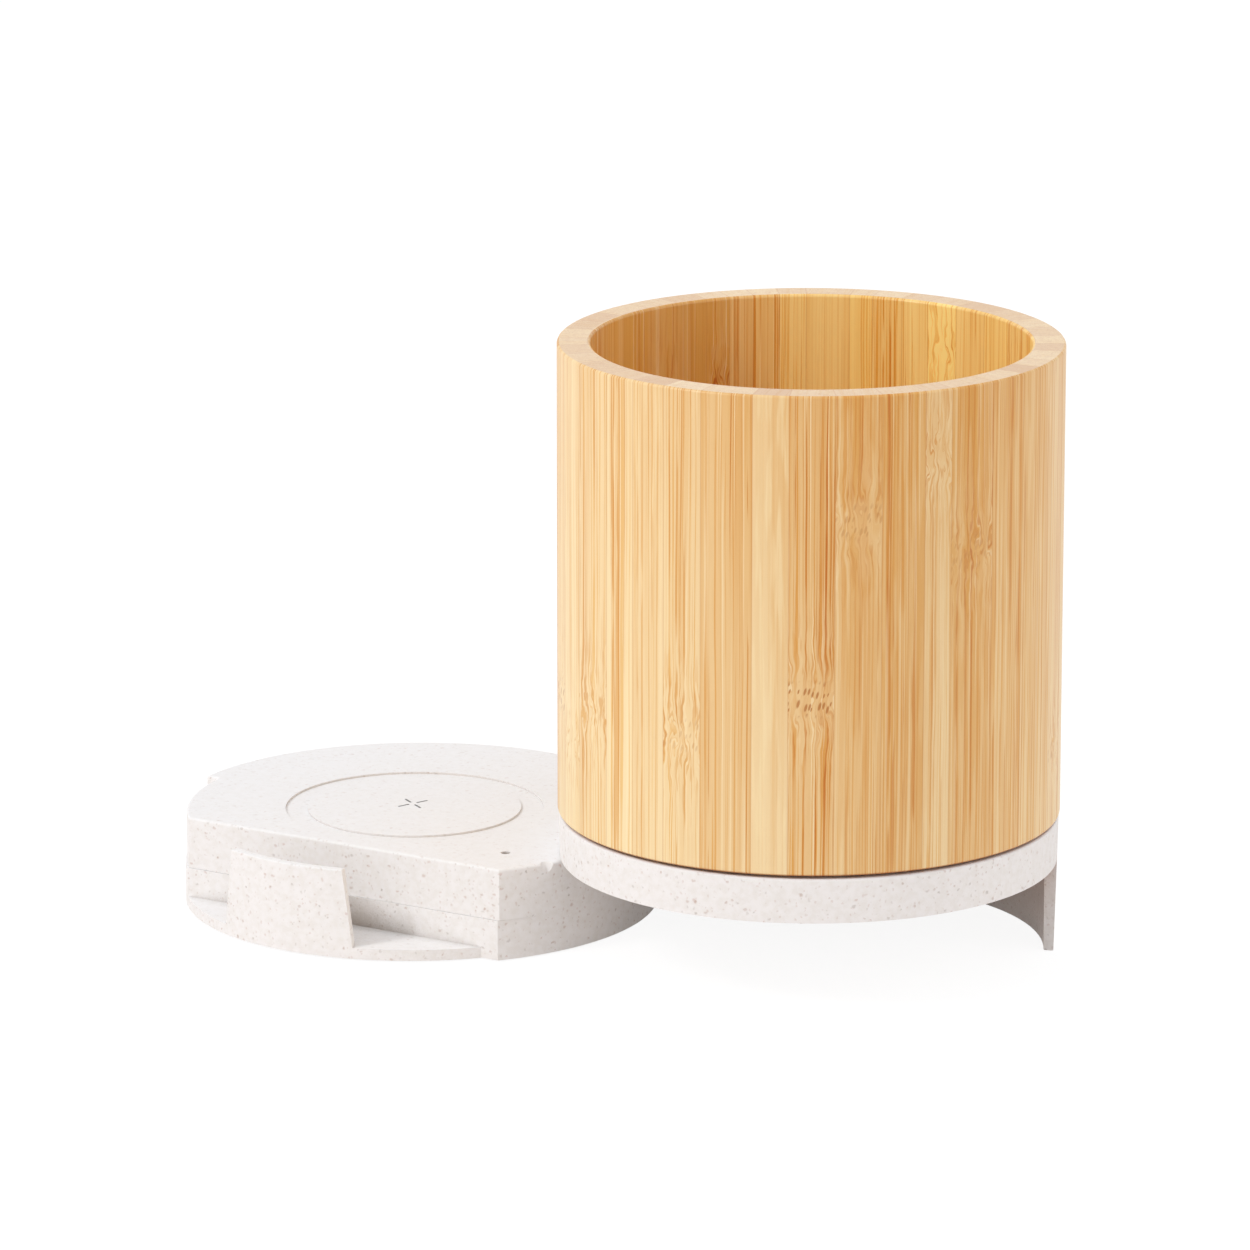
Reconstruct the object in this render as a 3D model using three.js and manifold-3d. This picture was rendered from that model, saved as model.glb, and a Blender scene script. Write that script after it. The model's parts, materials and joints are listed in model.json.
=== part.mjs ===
// A pen holder on a swivelling base over a round wireless charger.
// Millimetres, +Z up. The origin is the charger's centre on the table, the phone slot faces -Y
// and the swivel axis stands on +X. The cup is shown swung open beside the charger.

import * as THREE from 'three';
import { mergeVertices } from 'three/addons/utils/BufferGeometryUtils.js';
import Module from 'manifold-3d';

const wasm = await Module();
wasm.setup();

// Fits shared by several pieces
const seatGap = 0.3; // a piece to the face that carries it
const slideGap = 0.3; // the swivelling base to the charger
const boreGap = 0.3; // a screw or rod to its hole, on the radius
const overrun = 1; // how far a cutting body runs past the face it cuts

// Facets round a full turn, and in the arcs of the charger's outline
const facets = { large: 72, medium: 28, small: 12 };
const arcSteps = { side: 44, recess: 8, flange: 28, edge: 2, tab: 8 };

// The charger housing: a disc whose front is cut flat for the phone slot
const charger = {
  radius: 44.75,
  recess: 2.65, // how far the side steps in to clear the base's apron
  slotFace: 27.8, // centre to the flat face that the phone leans on
  stepFace: 2.1, // centre to the face where the side steps in
  height: 17.2, // table to the charging face
  stand: 0.3, // table to the housing's underside
  coverDepth: 9.6, // charging face down to the line between tray and cover
  partingGap: 0.15,
  wall: 2.0,
  floor: 2.0,
  topPlate: 2.2,
  topEdge: 0.7,
  bottomEdge: 0.5,
};

// The lip of the tray that locates the cover
const lip = { thickness: 0.8, height: 1.4, fit: 0.2 };

// The tab at the front of the phone slot, a curved trapezium
const tab = {
  thickness: 1.7,
  drop: 0.5,
  middle: 267.4,
  footHalfAngle: 19.45,
  topHalfAngle: 16.9,
  edge: 0.3,
};

// The charging face: a shallow ring groove, the lamp hole and the nick in its edge
const groove = { inner: 19.55, outer: 23.68, depth: 0.4 };
const lampHole = { radius: 0.9, inset: 9.55, angle: 330 };
const nick = { radius: 1.55, angle: 334.2, inset: 1.0, drop: 1.5 };

// Screws that hold the cover down on the tray
const shellScrew = {
  reach: 30,
  angles: [42, 138, 222, 318],
  shank: 1.3,
  head: 2.4,
  headHeight: 1.5,
  length: 10.5,
  post: 3.2,
};

// The soft pad that the charger stands on
const gripPad = { radius: 34, thickness: 0.8, fit: 0.2, edge: 0.2 };

// The charging coil and its magnetic sheet, hung under the charging face
const coil = { inner: 10.5, outer: 21.5, thickness: 1.4, edge: 0.4 };
const ferrite = { margin: 1.0, thickness: 0.8 };
const coilFence = { wall: 1.2, fit: 0.4, gapWidth: 7 };
const coilLead = { radius: 0.5, spacing: 2.4, spread: 3.2, sides: 8, steps: 10 };

// The main board and what is soldered on it
const board = { thickness: 1.6, rebate: 1.5, inset: 0.5, fit: 0.5 };
const boardPeg = { radius: 1.6, reach: 26, angles: [75, 165, 255, 345] };
const solderGap = 0.2;
const powerChip = { side: 7, height: 0.9, x: -13, y: 14 };
const driverChips = { side: 4, height: 0.9, x: 9, y: 9, pitch: 8, count: 3 };
const inductor = { radius: 3.4, height: 2.8, waist: 2.7, flange: 0.6, inset: 12.55, angle: 64.2 };
const capacitors = { length: 3.2, width: 1.6, height: 1.6, x: -22, y: -4, pitch: 3, count: 6 };
const statusLamp = { side: 1.6, height: 0.8 };
const lightPipe = { radius: 0.75, collar: 1.7, collarHeight: 1.2, sink: 0.9 };

// The supply inlet, a small flat oval socket in the back wall
const inlet = { width: 8.9, height: 3.2, depth: 7.4, wall: 0.35, inset: 0.55, fit: 0.4 };
const inletTongue = { width: 6.6, thickness: 0.7, reach: 5.4, backing: 1.2, fit: 0.15 };

// The swivel: a shoulder screw up through the charger into the base
const pivot = { inset: 5.3, openAngle: 193.6, boss: 5.0 };
const pivotScrew = {
  head: 3.9,
  headHeight: 2.0,
  headInset: 0.6,
  shank: 2.6,
  thread: 1.9,
  threadLength: 4.0,
  socket: 1.6,
  socketDepth: 1.2,
  socketSides: 6,
};
const springWasher = { outer: 3.9, thickness: 0.3, cone: 0.4 };
const thrustWasher = { outer: 4.4, thickness: 0.7, proud: 0.05 };
const insert = { outer: 3.2, height: 3.9, flange: 0.5, groove: 0.3 };

// The swivelling base: a plate with a band round it and an apron that closes the slot
const base = {
  bandHeight: 8.1,
  flare: 0.05, // how far the top of the band stands out past the charger
  bandDraft: 0.17, // how much the band draws in down to its foot
  apronDraft: 0.43, // how much the apron draws in below the band
  plate: 2.2,
  edge: 0.4,
  pedestalInset: 2.3, // top of the band in to the pedestal under the bamboo
  shadowGap: 0.5, // open line between the band and the bamboo
  stepGap: 8.3, // the step to the apron's end face beside it, when closed
  apronEdge: 0.25,
};
const baseRibs = { count: 6, thickness: 1.2, depth: 2.6, hub: 9, firstAngle: 30 };

// The plate that closes the base from below, and its screws
const underplate = { thickness: 1.6, fit: 0.3 };
const plateScrew = { inset: 10.4, angles: [60, 180, 300], shank: 1.1, head: 2.2, post: 3, length: 5.5 };

// The bamboo cup, its floor, and the screws up into the floor
const cup = { overhang: 0.2, wall: 5.95, height: 85.6, footRound: 0.6, rimOuter: 0.5, rimInner: 0.6 };
const cupFloor = { thickness: 6, fit: 0.3, edge: 0.5 };
const cupScrew = { reach: 21, count: 3, firstAngle: 90, shank: 1.5, head: 3.0, headHeight: 1.7, bite: 4.6 };

// Radii that follow from the values above
const recessRadius = charger.radius - charger.recess;
const apronInner = recessRadius + slideGap;
const bandTopRadius = charger.radius + base.flare;
const bandFootRadius = bandTopRadius - base.bandDraft;
const apronFootRadius = bandFootRadius - base.apronDraft;
const cupRadius = bandTopRadius + cup.overhang;
const cupInner = cupRadius - cup.wall;
const ferriteRadius = coil.outer + ferrite.margin;
const fenceInner = ferriteRadius + coilFence.fit;
const pivotReach = charger.radius - pivot.inset;
const inletFront = charger.radius - inlet.inset;

// Heights that follow from the values above
const floorTop = charger.stand + charger.floor;
const parting = charger.height - charger.coverDepth;
const plateUnder = charger.height - charger.topPlate;
const boardUnder = parting - board.rebate;
const boardTop = boardUnder + board.thickness;
const coilTop = plateUnder - seatGap;
const ferriteTop = coilTop - coil.thickness - seatGap;
const baseFoot = charger.height + slideGap;
const bandTopZ = baseFoot + base.bandHeight;
const basePlateUnder = bandTopZ - base.plate;
const cupFoot = bandTopZ + base.shadowGap;
const pedestalTop = cupFoot - seatGap;
const underplateTop = baseFoot + underplate.thickness;
const headSeat = charger.stand + pivotScrew.headInset + pivotScrew.headHeight;
const pivotLedge = headSeat + springWasher.thickness + springWasher.cone + seatGap * 2;
const washerPocket = baseFoot - thrustWasher.proud + thrustWasher.thickness + seatGap;

const radians = THREE.MathUtils.degToRad;

// A point at a distance and an angle in degrees from the centre
function polar(reach, angle) {
  return [reach * Math.cos(radians(angle)), reach * Math.sin(radians(angle))];
}

// Points along an arc about the origin, both ends included
function arc(radius, from, to, steps) {
  const points = [];
  for (let i = 0; i <= steps; i += 1) {
    points.push(polar(radius, from + ((to - from) * i) / steps));
  }
  return points;
}

// A quarter round in a profile, about its own centre
function quarter(centreR, centreZ, radius, from) {
  return arc(radius, from, from + 90, arcSteps.edge).map(([r, z]) => [centreR + r, centreZ + z]);
}

// A closed solid from a mesh: shared corners are merged and flat triangles dropped
function solid(geometry) {
  const bare = geometry.clone();
  bare.deleteAttribute('normal');
  bare.deleteAttribute('uv');
  const merged = mergeVertices(bare);
  const corners = merged.index.array;
  const triVerts = [];
  for (let i = 0; i < corners.length; i += 3) {
    const [a, b, c] = [corners[i], corners[i + 1], corners[i + 2]];
    if (a !== b && b !== c && c !== a) triVerts.push(a, b, c);
  }
  const vertProperties = Float32Array.from(merged.attributes.position.array);
  return new wasm.Manifold(
    new wasm.Mesh({ numProp: 3, vertProperties, triVerts: Uint32Array.from(triVerts) }),
  );
}

// Back from a solid to a mesh geometry
function geometryOf(body) {
  const { vertProperties, triVerts } = body.getMesh();
  const geometry = new THREE.BufferGeometry();
  geometry.setAttribute('position', new THREE.BufferAttribute(vertProperties, 3));
  geometry.setIndex(new THREE.BufferAttribute(triVerts, 1));
  geometry.computeVertexNormals();
  return geometry;
}

// A turned solid from a profile of [radius, height] points, outer side going up
function turned(profile, segments = facets.large, [x, y] = [0, 0]) {
  const closed = profile[0][0] > 0 ? [...profile, profile[0]] : profile;
  const geometry = new THREE.LatheGeometry(
    closed.map(([r, z]) => new THREE.Vector2(r, z)),
    segments,
  );
  return solid(geometry.rotateX(Math.PI / 2).translate(x, y, 0));
}

// A round rod or disc between two heights
function rod(radius, low, high, segments = facets.medium, place = [0, 0]) {
  return turned([[0, low], [radius, low], [radius, high], [0, high]], segments, place);
}

// A ring or sleeve between two heights
function sleeve(inner, outer, low, high, segments = facets.medium, place = [0, 0]) {
  return turned([[inner, low], [outer, low], [outer, high], [inner, high]], segments, place);
}

// A block given by its lowest and highest corners
function block([x0, y0, z0], [x1, y1, z1]) {
  const geometry = new THREE.BoxGeometry(x1 - x0, y1 - y0, z1 - z0);
  return solid(geometry.translate((x0 + x1) / 2, (y0 + y1) / 2, (z0 + z1) / 2));
}

// A solid through level outlines, each with the same count of points, listed anticlockwise
function loft(rings) {
  const count = rings[0].points.length;
  const positions = rings.flatMap(({ z, points }) => points.flatMap(([x, y]) => [x, y, z]));
  const index = [];
  for (let level = 0; level < rings.length - 1; level += 1) {
    for (let i = 0; i < count; i += 1) {
      const next = (i + 1) % count;
      const [a, b] = [level * count + i, level * count + next];
      index.push(a, b, b + count, a, b + count, a + count);
    }
  }
  const cap = (ring) => THREE.ShapeUtils.triangulateShape(
    ring.points.map(([x, y]) => new THREE.Vector2(x, y)),
    [],
  );
  const top = (rings.length - 1) * count;
  cap(rings[0]).forEach(([a, b, c]) => index.push(a, c, b));
  cap(rings[rings.length - 1]).forEach(([a, b, c]) => index.push(top + a, top + b, top + c));
  const geometry = new THREE.BufferGeometry();
  geometry.setAttribute('position', new THREE.Float32BufferAttribute(positions, 3));
  geometry.setIndex(index);
  return solid(geometry);
}

// An outline that is drawn in by a given inset at each height
function stack(outline, levels) {
  return loft(levels.map(([z, inset]) => ({ z, points: outline(inset) })));
}

// Levels of a rounded upper or lower edge for a stack
function roundedTop(z, edge) {
  return arc(edge, 0, 90, arcSteps.edge).map(([r, h]) => [z - edge + h, edge - r]);
}

function roundedFoot(z, edge) {
  return arc(edge, 270, 360, arcSteps.edge).map(([r, h]) => [z + edge + h, edge - r]);
}

// The charger's outline, inset from its outer face: the full round side, the step, the
// stepped-in side and, between its two ends, either the straight slot face or the flange
function chargerOutline(inset, withFlange) {
  const outer = charger.radius - inset;
  const recess = recessRadius - inset;
  const front = charger.slotFace - inset;
  const step = charger.stepFace - inset;
  const degrees = (opposite, radius) => THREE.MathUtils.radToDeg(Math.asin(opposite / radius));
  const side = arc(outer, -degrees(front, outer), 180 + degrees(step, outer), arcSteps.side);
  const recessEnd = 180 + degrees(front, recess);
  const stepped = arc(recess, 180 + degrees(step, recess), recessEnd, arcSteps.recess);
  const flange = arc(recess, recessEnd, 360 - degrees(front, recess), arcSteps.flange);
  return withFlange ? [...side, ...stepped, ...flange.slice(1)] : [...side, ...stepped];
}

const housingOutline = (inset) => chargerOutline(inset, false);
const floorOutline = (inset) => chargerOutline(inset, true);

const pivotPlace = [pivotReach, 0];
const lampPlace = polar(charger.radius - lampHole.inset, lampHole.angle);
const shellScrewPlaces = shellScrew.angles.map((angle) => polar(shellScrew.reach, angle));

// The opening in the back wall that the inlet looks out of, from the parting line up
function inletOpening() {
  const halfWidth = inlet.width / 2 + inlet.fit;
  const inletTop = boardTop + solderGap + inlet.height + inlet.fit;
  return block(
    [-halfWidth, charger.radius - charger.wall * 2, parting],
    [halfWidth, charger.radius + overrun, inletTop],
  );
}

// The tray: floor with its flange, low wall, lip, tab, posts and the swivel's lower boss
function trayTab() {
  const inner = recessRadius - tab.thickness;
  const top = charger.height - tab.drop;
  const outline = (halfAngle, inset) => [
    ...arc(recessRadius - inset, tab.middle - halfAngle, tab.middle + halfAngle, arcSteps.tab),
    ...arc(inner + inset, tab.middle + halfAngle, tab.middle - halfAngle, arcSteps.tab),
  ];
  return loft([
    { z: floorTop - charger.floor / 2, points: outline(tab.footHalfAngle, 0) },
    { z: top - tab.edge, points: outline(tab.topHalfAngle, 0) },
    { z: top, points: outline(tab.topHalfAngle, tab.edge) },
  ]);
}

function chargerTray() {
  const ledge = charger.wall - lip.thickness;
  const padCeiling = gripPad.thickness + seatGap;
  const screwLedge = padCeiling + shellScrew.headHeight + seatGap * 2;
  let tray = stack(floorOutline, [
    ...roundedFoot(charger.stand, charger.bottomEdge),
    [floorTop, 0],
  ]);
  tray = tray.add(stack(housingOutline, [[floorTop - charger.floor / 2, 0], [parting, 0]]));
  tray = tray.subtract(stack(housingOutline, [
    [floorTop, charger.wall],
    [parting + overrun, charger.wall],
  ]));
  const lipRing = stack(housingOutline, [[parting - lip.height, ledge], [parting + lip.height, ledge]])
    .subtract(stack(housingOutline, [
      [parting - lip.height - overrun, charger.wall],
      [parting + lip.height + overrun, charger.wall],
    ]));
  tray = tray.add(lipRing).subtract(inletOpening()).add(trayTab());
  shellScrewPlaces.forEach((place) => {
    tray = tray.add(rod(shellScrew.post, floorTop - charger.floor / 2, parting, facets.small, place));
  });
  boardPeg.angles.forEach((angle) => {
    const place = polar(boardPeg.reach, angle);
    const pegTop = boardUnder - seatGap;
    tray = tray.add(rod(boardPeg.radius, floorTop - charger.floor / 2, pegTop, facets.small, place));
  });
  tray = tray.add(rod(pivot.boss, floorTop - charger.floor / 2, parting, facets.medium, pivotPlace));
  shellScrewPlaces.forEach((place) => {
    const shank = shellScrew.shank + boreGap;
    const head = shellScrew.head + boreGap;
    tray = tray.subtract(rod(shank, 0, parting + overrun, facets.small, place));
    tray = tray.subtract(rod(head, 0, screwLedge, facets.small, place));
  });
  const shank = pivotScrew.shank + boreGap;
  const head = pivotScrew.head + boreGap;
  tray = tray.subtract(rod(shank, 0, parting + overrun, facets.medium, pivotPlace));
  tray = tray.subtract(rod(head, 0, pivotLedge, facets.medium, pivotPlace));
  return tray.subtract(rod(gripPad.radius + gripPad.fit, 0, padCeiling, facets.large));
}

// The cover: charging face, side wall, bosses and the fence round the coil
function coverNick() {
  const [x, y] = polar(charger.radius, nick.angle);
  const slope = Math.atan2(nick.drop, nick.inset);
  const span = nick.radius * 4;
  const geometry = new THREE.CylinderGeometry(nick.radius, nick.radius, span, facets.small);
  geometry.rotateZ(Math.PI / 2).translate(0, 0, nick.radius).rotateY(slope);
  geometry.rotateZ(radians(nick.angle)).translate(x, y, charger.height - nick.drop);
  return solid(geometry);
}

function chargerCover() {
  const foot = parting + charger.partingGap;
  const rabbet = charger.wall - lip.thickness - lip.fit;
  let cover = stack(housingOutline, [[foot, 0], ...roundedTop(charger.height, charger.topEdge)]);
  cover = cover.subtract(stack(housingOutline, [
    [foot - overrun, charger.wall],
    [plateUnder, charger.wall],
  ]));
  const bossTop = plateUnder + charger.topPlate / 2;
  shellScrewPlaces.forEach((place) => {
    cover = cover.add(rod(shellScrew.post, foot, bossTop, facets.small, place));
  });
  cover = cover.add(rod(pivot.boss, foot, bossTop, facets.medium, pivotPlace));
  cover = cover.subtract(stack(housingOutline, [
    [foot - overrun, rabbet],
    [parting + lip.height + lip.fit, rabbet],
  ]).subtract(stack(housingOutline, [
    [foot - overrun, charger.wall + overrun / 2],
    [parting + lip.height + lip.fit, charger.wall + overrun / 2],
  ])));
  const fence = sleeve(
    fenceInner,
    fenceInner + coilFence.wall,
    ferriteTop - ferrite.thickness,
    bossTop,
  );
  const fenceGap = block(
    [-coilFence.gapWidth / 2, 0, ferriteTop - ferrite.thickness - overrun],
    [coilFence.gapWidth / 2, fenceInner + coilFence.wall + overrun, plateUnder],
  );
  cover = cover.add(fence.subtract(fenceGap));
  cover = cover.subtract(sleeve(
    groove.inner,
    groove.outer,
    charger.height - groove.depth,
    charger.height + overrun,
    facets.large,
  ));
  shellScrewPlaces.forEach((place) => {
    const hole = shellScrew.shank + boreGap;
    cover = cover.subtract(rod(hole, foot - overrun, plateUnder, facets.small, place));
  });
  const shank = pivotScrew.shank + boreGap;
  cover = cover.subtract(rod(shank, 0, charger.height + overrun, facets.medium, pivotPlace));
  cover = cover.subtract(
    rod(lampHole.radius, plateUnder - overrun, charger.height + overrun, facets.small, lampPlace),
  );
  return cover.subtract(coverNick()).subtract(inletOpening());
}

// The pad and the screws under the tray
function gripPadBody() {
  const { radius, thickness, edge } = gripPad;
  return turned([[0, 0], [radius - edge, 0], [radius, edge], [radius, thickness], [0, thickness]]);
}

// A pan-headed screw that stands head down at a place
function screwBody(headRadius, headHeight, shankRadius, low, high, place) {
  const edge = headHeight / 4;
  return turned([
    [0, low],
    [headRadius - edge, low],
    [headRadius, low + edge],
    [headRadius, low + headHeight],
    [shankRadius, low + headHeight],
    [shankRadius, high - shankRadius],
    [0, high],
  ], facets.small, place);
}

function shellScrews() {
  const low = gripPad.thickness + seatGap * 2;
  return shellScrewPlaces.map((place) => screwBody(
    shellScrew.head,
    shellScrew.headHeight,
    shellScrew.shank,
    low,
    low + shellScrew.length,
    place,
  ));
}

// The coil, its sheet, and its two leads down to the board
function chargingCoil() {
  const low = coilTop - coil.thickness;
  const { inner, outer, edge } = coil;
  return turned([
    [inner, low + edge],
    [inner + edge, low],
    [outer - edge, low],
    [outer, low + edge],
    [outer, coilTop - edge],
    [outer - edge, coilTop],
    [inner + edge, coilTop],
    [inner, coilTop - edge],
  ], facets.medium);
}

function ferriteSheet() {
  return rod(ferriteRadius, ferriteTop - ferrite.thickness, ferriteTop);
}

function coilLeads() {
  const start = coil.outer + seatGap;
  const leadTop = coilTop - coil.thickness / 2;
  const leadFoot = boardTop + solderGap;
  const section = new THREE.Shape(
    arc(coilLead.radius, 0, 360 - 360 / coilLead.sides, coilLead.sides - 1)
      .map(([x, y]) => new THREE.Vector2(x, y)),
  );
  return [-1, 1].map((side) => {
    const x = (side * coilLead.spacing) / 2;
    const route = new THREE.CatmullRomCurve3([
      new THREE.Vector3(x, start, leadTop),
      new THREE.Vector3(x, start + coilLead.spread, leadTop),
      new THREE.Vector3(x, start + coilLead.spread * 2, (leadTop + leadFoot) / 2),
      new THREE.Vector3(x, start + coilLead.spread * 2, leadFoot),
    ]);
    const settings = { steps: coilLead.steps, extrudePath: route, bevelEnabled: false };
    return solid(new THREE.ExtrudeGeometry(section, settings));
  });
}

// The main board, cut to the housing's outline and round its posts
function circuitBoard() {
  const inset = charger.wall + board.inset;
  let plate = stack(housingOutline, [[boardUnder, inset], [boardTop, inset]]);
  const cutLow = boardUnder - overrun;
  const cutHigh = boardTop + overrun;
  shellScrewPlaces.forEach((place) => {
    plate = plate.subtract(rod(shellScrew.post + board.fit, cutLow, cutHigh, facets.small, place));
  });
  return plate.subtract(rod(pivot.boss + board.fit, cutLow, cutHigh, facets.medium, pivotPlace));
}

// A chip or other block on the board, given by its centre and size
function onBoard(x, y, length, width, height) {
  const low = boardTop + solderGap;
  return block([x - length / 2, y - width / 2, low], [x + length / 2, y + width / 2, low + height]);
}

function driverChipRow() {
  const { side, height, x, y, pitch, count } = driverChips;
  return Array.from({ length: count }, (_, i) => onBoard(x, y - i * pitch, side, side, height));
}

function capacitorRow() {
  const { length, width, height, x, y, pitch, count } = capacitors;
  return Array.from({ length: count }, (_, i) => onBoard(x, y + i * pitch, length, width, height));
}

function inductorBody() {
  const low = boardTop + solderGap;
  const { radius, waist, height, flange } = inductor;
  const place = polar(charger.radius - inductor.inset, inductor.angle);
  return turned([
    [0, low],
    [radius, low],
    [radius, low + flange],
    [waist, low + flange],
    [waist, low + height - flange],
    [radius, low + height - flange],
    [radius, low + height],
    [0, low + height],
  ], facets.small, place);
}

function statusLampBody() {
  return onBoard(...lampPlace, statusLamp.side, statusLamp.side, statusLamp.height);
}

// The clear rod that carries the lamp's light up to its hole, with a collar under the plate
function lightPipeBody() {
  const low = boardTop + solderGap + statusLamp.height + seatGap;
  const collarTop = plateUnder - seatGap;
  const collarFoot = collarTop - lightPipe.collarHeight;
  return turned([
    [0, low],
    [lightPipe.radius, low],
    [lightPipe.radius, collarFoot],
    [lightPipe.collar, collarFoot],
    [lightPipe.collar, collarTop],
    [lightPipe.radius, collarTop],
    [lightPipe.radius, charger.height - lightPipe.sink],
    [0, charger.height - lightPipe.sink],
  ], facets.small, lampPlace);
}

// A flat oval, lying on Y, for the inlet's shell and what goes in it
function ovalBar(width, height, front, back) {
  const radius = height / 2;
  const offset = width / 2 - radius;
  const shape = new THREE.Shape();
  shape.absarc(offset, 0, radius, -Math.PI / 2, Math.PI / 2, false);
  shape.absarc(-offset, 0, radius, Math.PI / 2, (Math.PI * 3) / 2, false);
  const settings = { depth: front - back, curveSegments: facets.small / 2, bevelEnabled: false };
  const geometry = new THREE.ExtrudeGeometry(shape, settings);
  geometry.rotateX(Math.PI / 2).translate(0, front, boardTop + solderGap + inlet.height / 2);
  return solid(geometry);
}

function inletShell() {
  const { width, height, depth, wall } = inlet;
  const back = inletFront - depth;
  const bore = ovalBar(width - wall * 2, height - wall * 2, inletFront + overrun, back - overrun);
  return ovalBar(width, height, inletFront, back).subtract(bore);
}

// The dark insert in the inlet: a plug that closes its back, and a thin tongue
function inletInsert() {
  const { width, thickness, reach, backing, fit } = inletTongue;
  const back = inletFront - inlet.depth;
  const shrink = (inlet.wall + fit) * 2;
  const plug = ovalBar(inlet.width - shrink, inlet.height - shrink, back + backing, back);
  const middle = boardTop + solderGap + inlet.height / 2;
  const tongue = block(
    [-width / 2, back + backing / 2, middle - thickness / 2],
    [width / 2, back + backing + reach, middle + thickness / 2],
  );
  return plug.add(tongue);
}

// The swivel's parts, on the axis
function pivotScrewBody() {
  const low = charger.stand + pivotScrew.headInset;
  const shoulder = washerPocket + seatGap;
  const { head, shank, thread, socket, socketSides } = pivotScrew;
  const edge = pivotScrew.headHeight / 5;
  const tip = shoulder + pivotScrew.threadLength;
  const body = turned([
    [0, low],
    [head - edge, low],
    [head, low + edge],
    [head, headSeat],
    [shank, headSeat],
    [shank, shoulder],
    [thread, shoulder],
    [thread, tip - edge],
    [thread - edge, tip],
    [0, tip],
  ], facets.medium, pivotPlace);
  return body.subtract(
    rod(socket, low - overrun, low + pivotScrew.socketDepth, socketSides, pivotPlace),
  );
}

function springWasherBody() {
  const inner = pivotScrew.shank + boreGap;
  const low = headSeat + seatGap;
  const { outer, thickness, cone } = springWasher;
  return turned([
    [inner, low + cone],
    [outer, low],
    [outer, low + thickness],
    [inner, low + cone + thickness],
  ], facets.medium, pivotPlace);
}

function thrustWasherBody() {
  const low = baseFoot - thrustWasher.proud;
  const inner = pivotScrew.shank + boreGap;
  return sleeve(inner, thrustWasher.outer, low, low + thrustWasher.thickness, facets.medium, pivotPlace);
}

function pivotInsertBody() {
  const low = washerPocket + seatGap * 2;
  const { outer, height, flange } = insert;
  const inner = pivotScrew.thread + boreGap;
  const waist = outer - insert.groove;
  return turned([
    [inner, low],
    [outer, low],
    [outer, low + flange],
    [waist, low + flange],
    [waist, low + height - flange],
    [outer, low + height - flange],
    [outer, low + height],
    [inner, low + height],
  ], facets.small, pivotPlace);
}

// The base, drawn over the charger as when it is closed
function plateAndBand() {
  const { edge } = base;
  const pedestal = bandTopRadius - base.pedestalInset;
  return turned([
    [0, basePlateUnder],
    [apronInner, basePlateUnder],
    [apronInner, baseFoot],
    [bandFootRadius, baseFoot],
    ...quarter(bandTopRadius - edge, bandTopZ - edge, edge, 0),
    [pedestal, bandTopZ],
    [pedestal, pedestalTop],
    [0, pedestalTop],
  ]);
}

// The apron: the part of a full skirt that lies in front of its two end faces
function apron() {
  const { apronEdge } = base;
  const skirt = turned([
    [apronInner, apronEdge],
    [apronInner + apronEdge, 0],
    [apronFootRadius - apronEdge, 0],
    [apronFootRadius, apronEdge],
    [bandFootRadius, baseFoot],
    [bandFootRadius, baseFoot + base.plate],
    [apronInner, baseFoot + base.plate],
  ]);
  const far = charger.radius + overrun;
  const high = baseFoot + base.plate + overrun;
  const front = block([-far, -far, -overrun], [far, -charger.slotFace - slideGap, high]);
  const side = block([-far, -far, -overrun], [0, -charger.stepFace - base.stepGap, high]);
  return skirt.intersect(front.add(side));
}

function baseRib(angle) {
  const { thickness, depth, hub } = baseRibs;
  const reach = (apronInner + bandFootRadius) / 2;
  const geometry = new THREE.BoxGeometry(reach - hub, thickness, depth + base.plate / 2);
  geometry.translate((reach + hub) / 2, 0, basePlateUnder + (base.plate / 2 - depth) / 2);
  return solid(geometry.rotateZ(radians(angle)));
}

const plateScrewPlaces = plateScrew.angles.map((angle) => polar(apronInner - plateScrew.inset, angle));
const cupScrewPlaces = Array.from(
  { length: cupScrew.count },
  (_, i) => polar(cupScrew.reach, cupScrew.firstAngle + (i * 360) / cupScrew.count),
);

function swivelBase() {
  const inPlate = basePlateUnder + base.plate / 2;
  let body = plateAndBand().add(apron());
  for (let i = 0; i < baseRibs.count; i += 1) {
    body = body.add(baseRib(baseRibs.firstAngle + (i * 360) / baseRibs.count));
  }
  plateScrewPlaces.forEach((place) => {
    const postFoot = underplateTop + seatGap;
    body = body.add(rod(plateScrew.post, postFoot, inPlate, facets.small, place));
    const hole = plateScrew.shank + boreGap;
    body = body.subtract(rod(hole, postFoot - overrun, basePlateUnder, facets.small, place));
  });
  cupScrewPlaces.forEach((place) => {
    const headRoom = cupScrew.head + boreGap * 2;
    const hole = cupScrew.shank + boreGap;
    body = body.subtract(rod(headRoom, underplateTop, basePlateUnder, facets.small, place));
    body = body.subtract(rod(hole, baseFoot, pedestalTop + overrun, facets.small, place));
  });
  body = body.add(rod(pivot.boss, baseFoot, inPlate, facets.medium, pivotPlace));
  const pocketTop = washerPocket + insert.height + seatGap * 3;
  const washerRoom = thrustWasher.outer + boreGap;
  body = body.subtract(rod(washerRoom, baseFoot - overrun, washerPocket, facets.medium, pivotPlace));
  const insertRoom = insert.outer + boreGap;
  return body.subtract(rod(insertRoom, baseFoot - overrun, pocketTop, facets.medium, pivotPlace));
}

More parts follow.
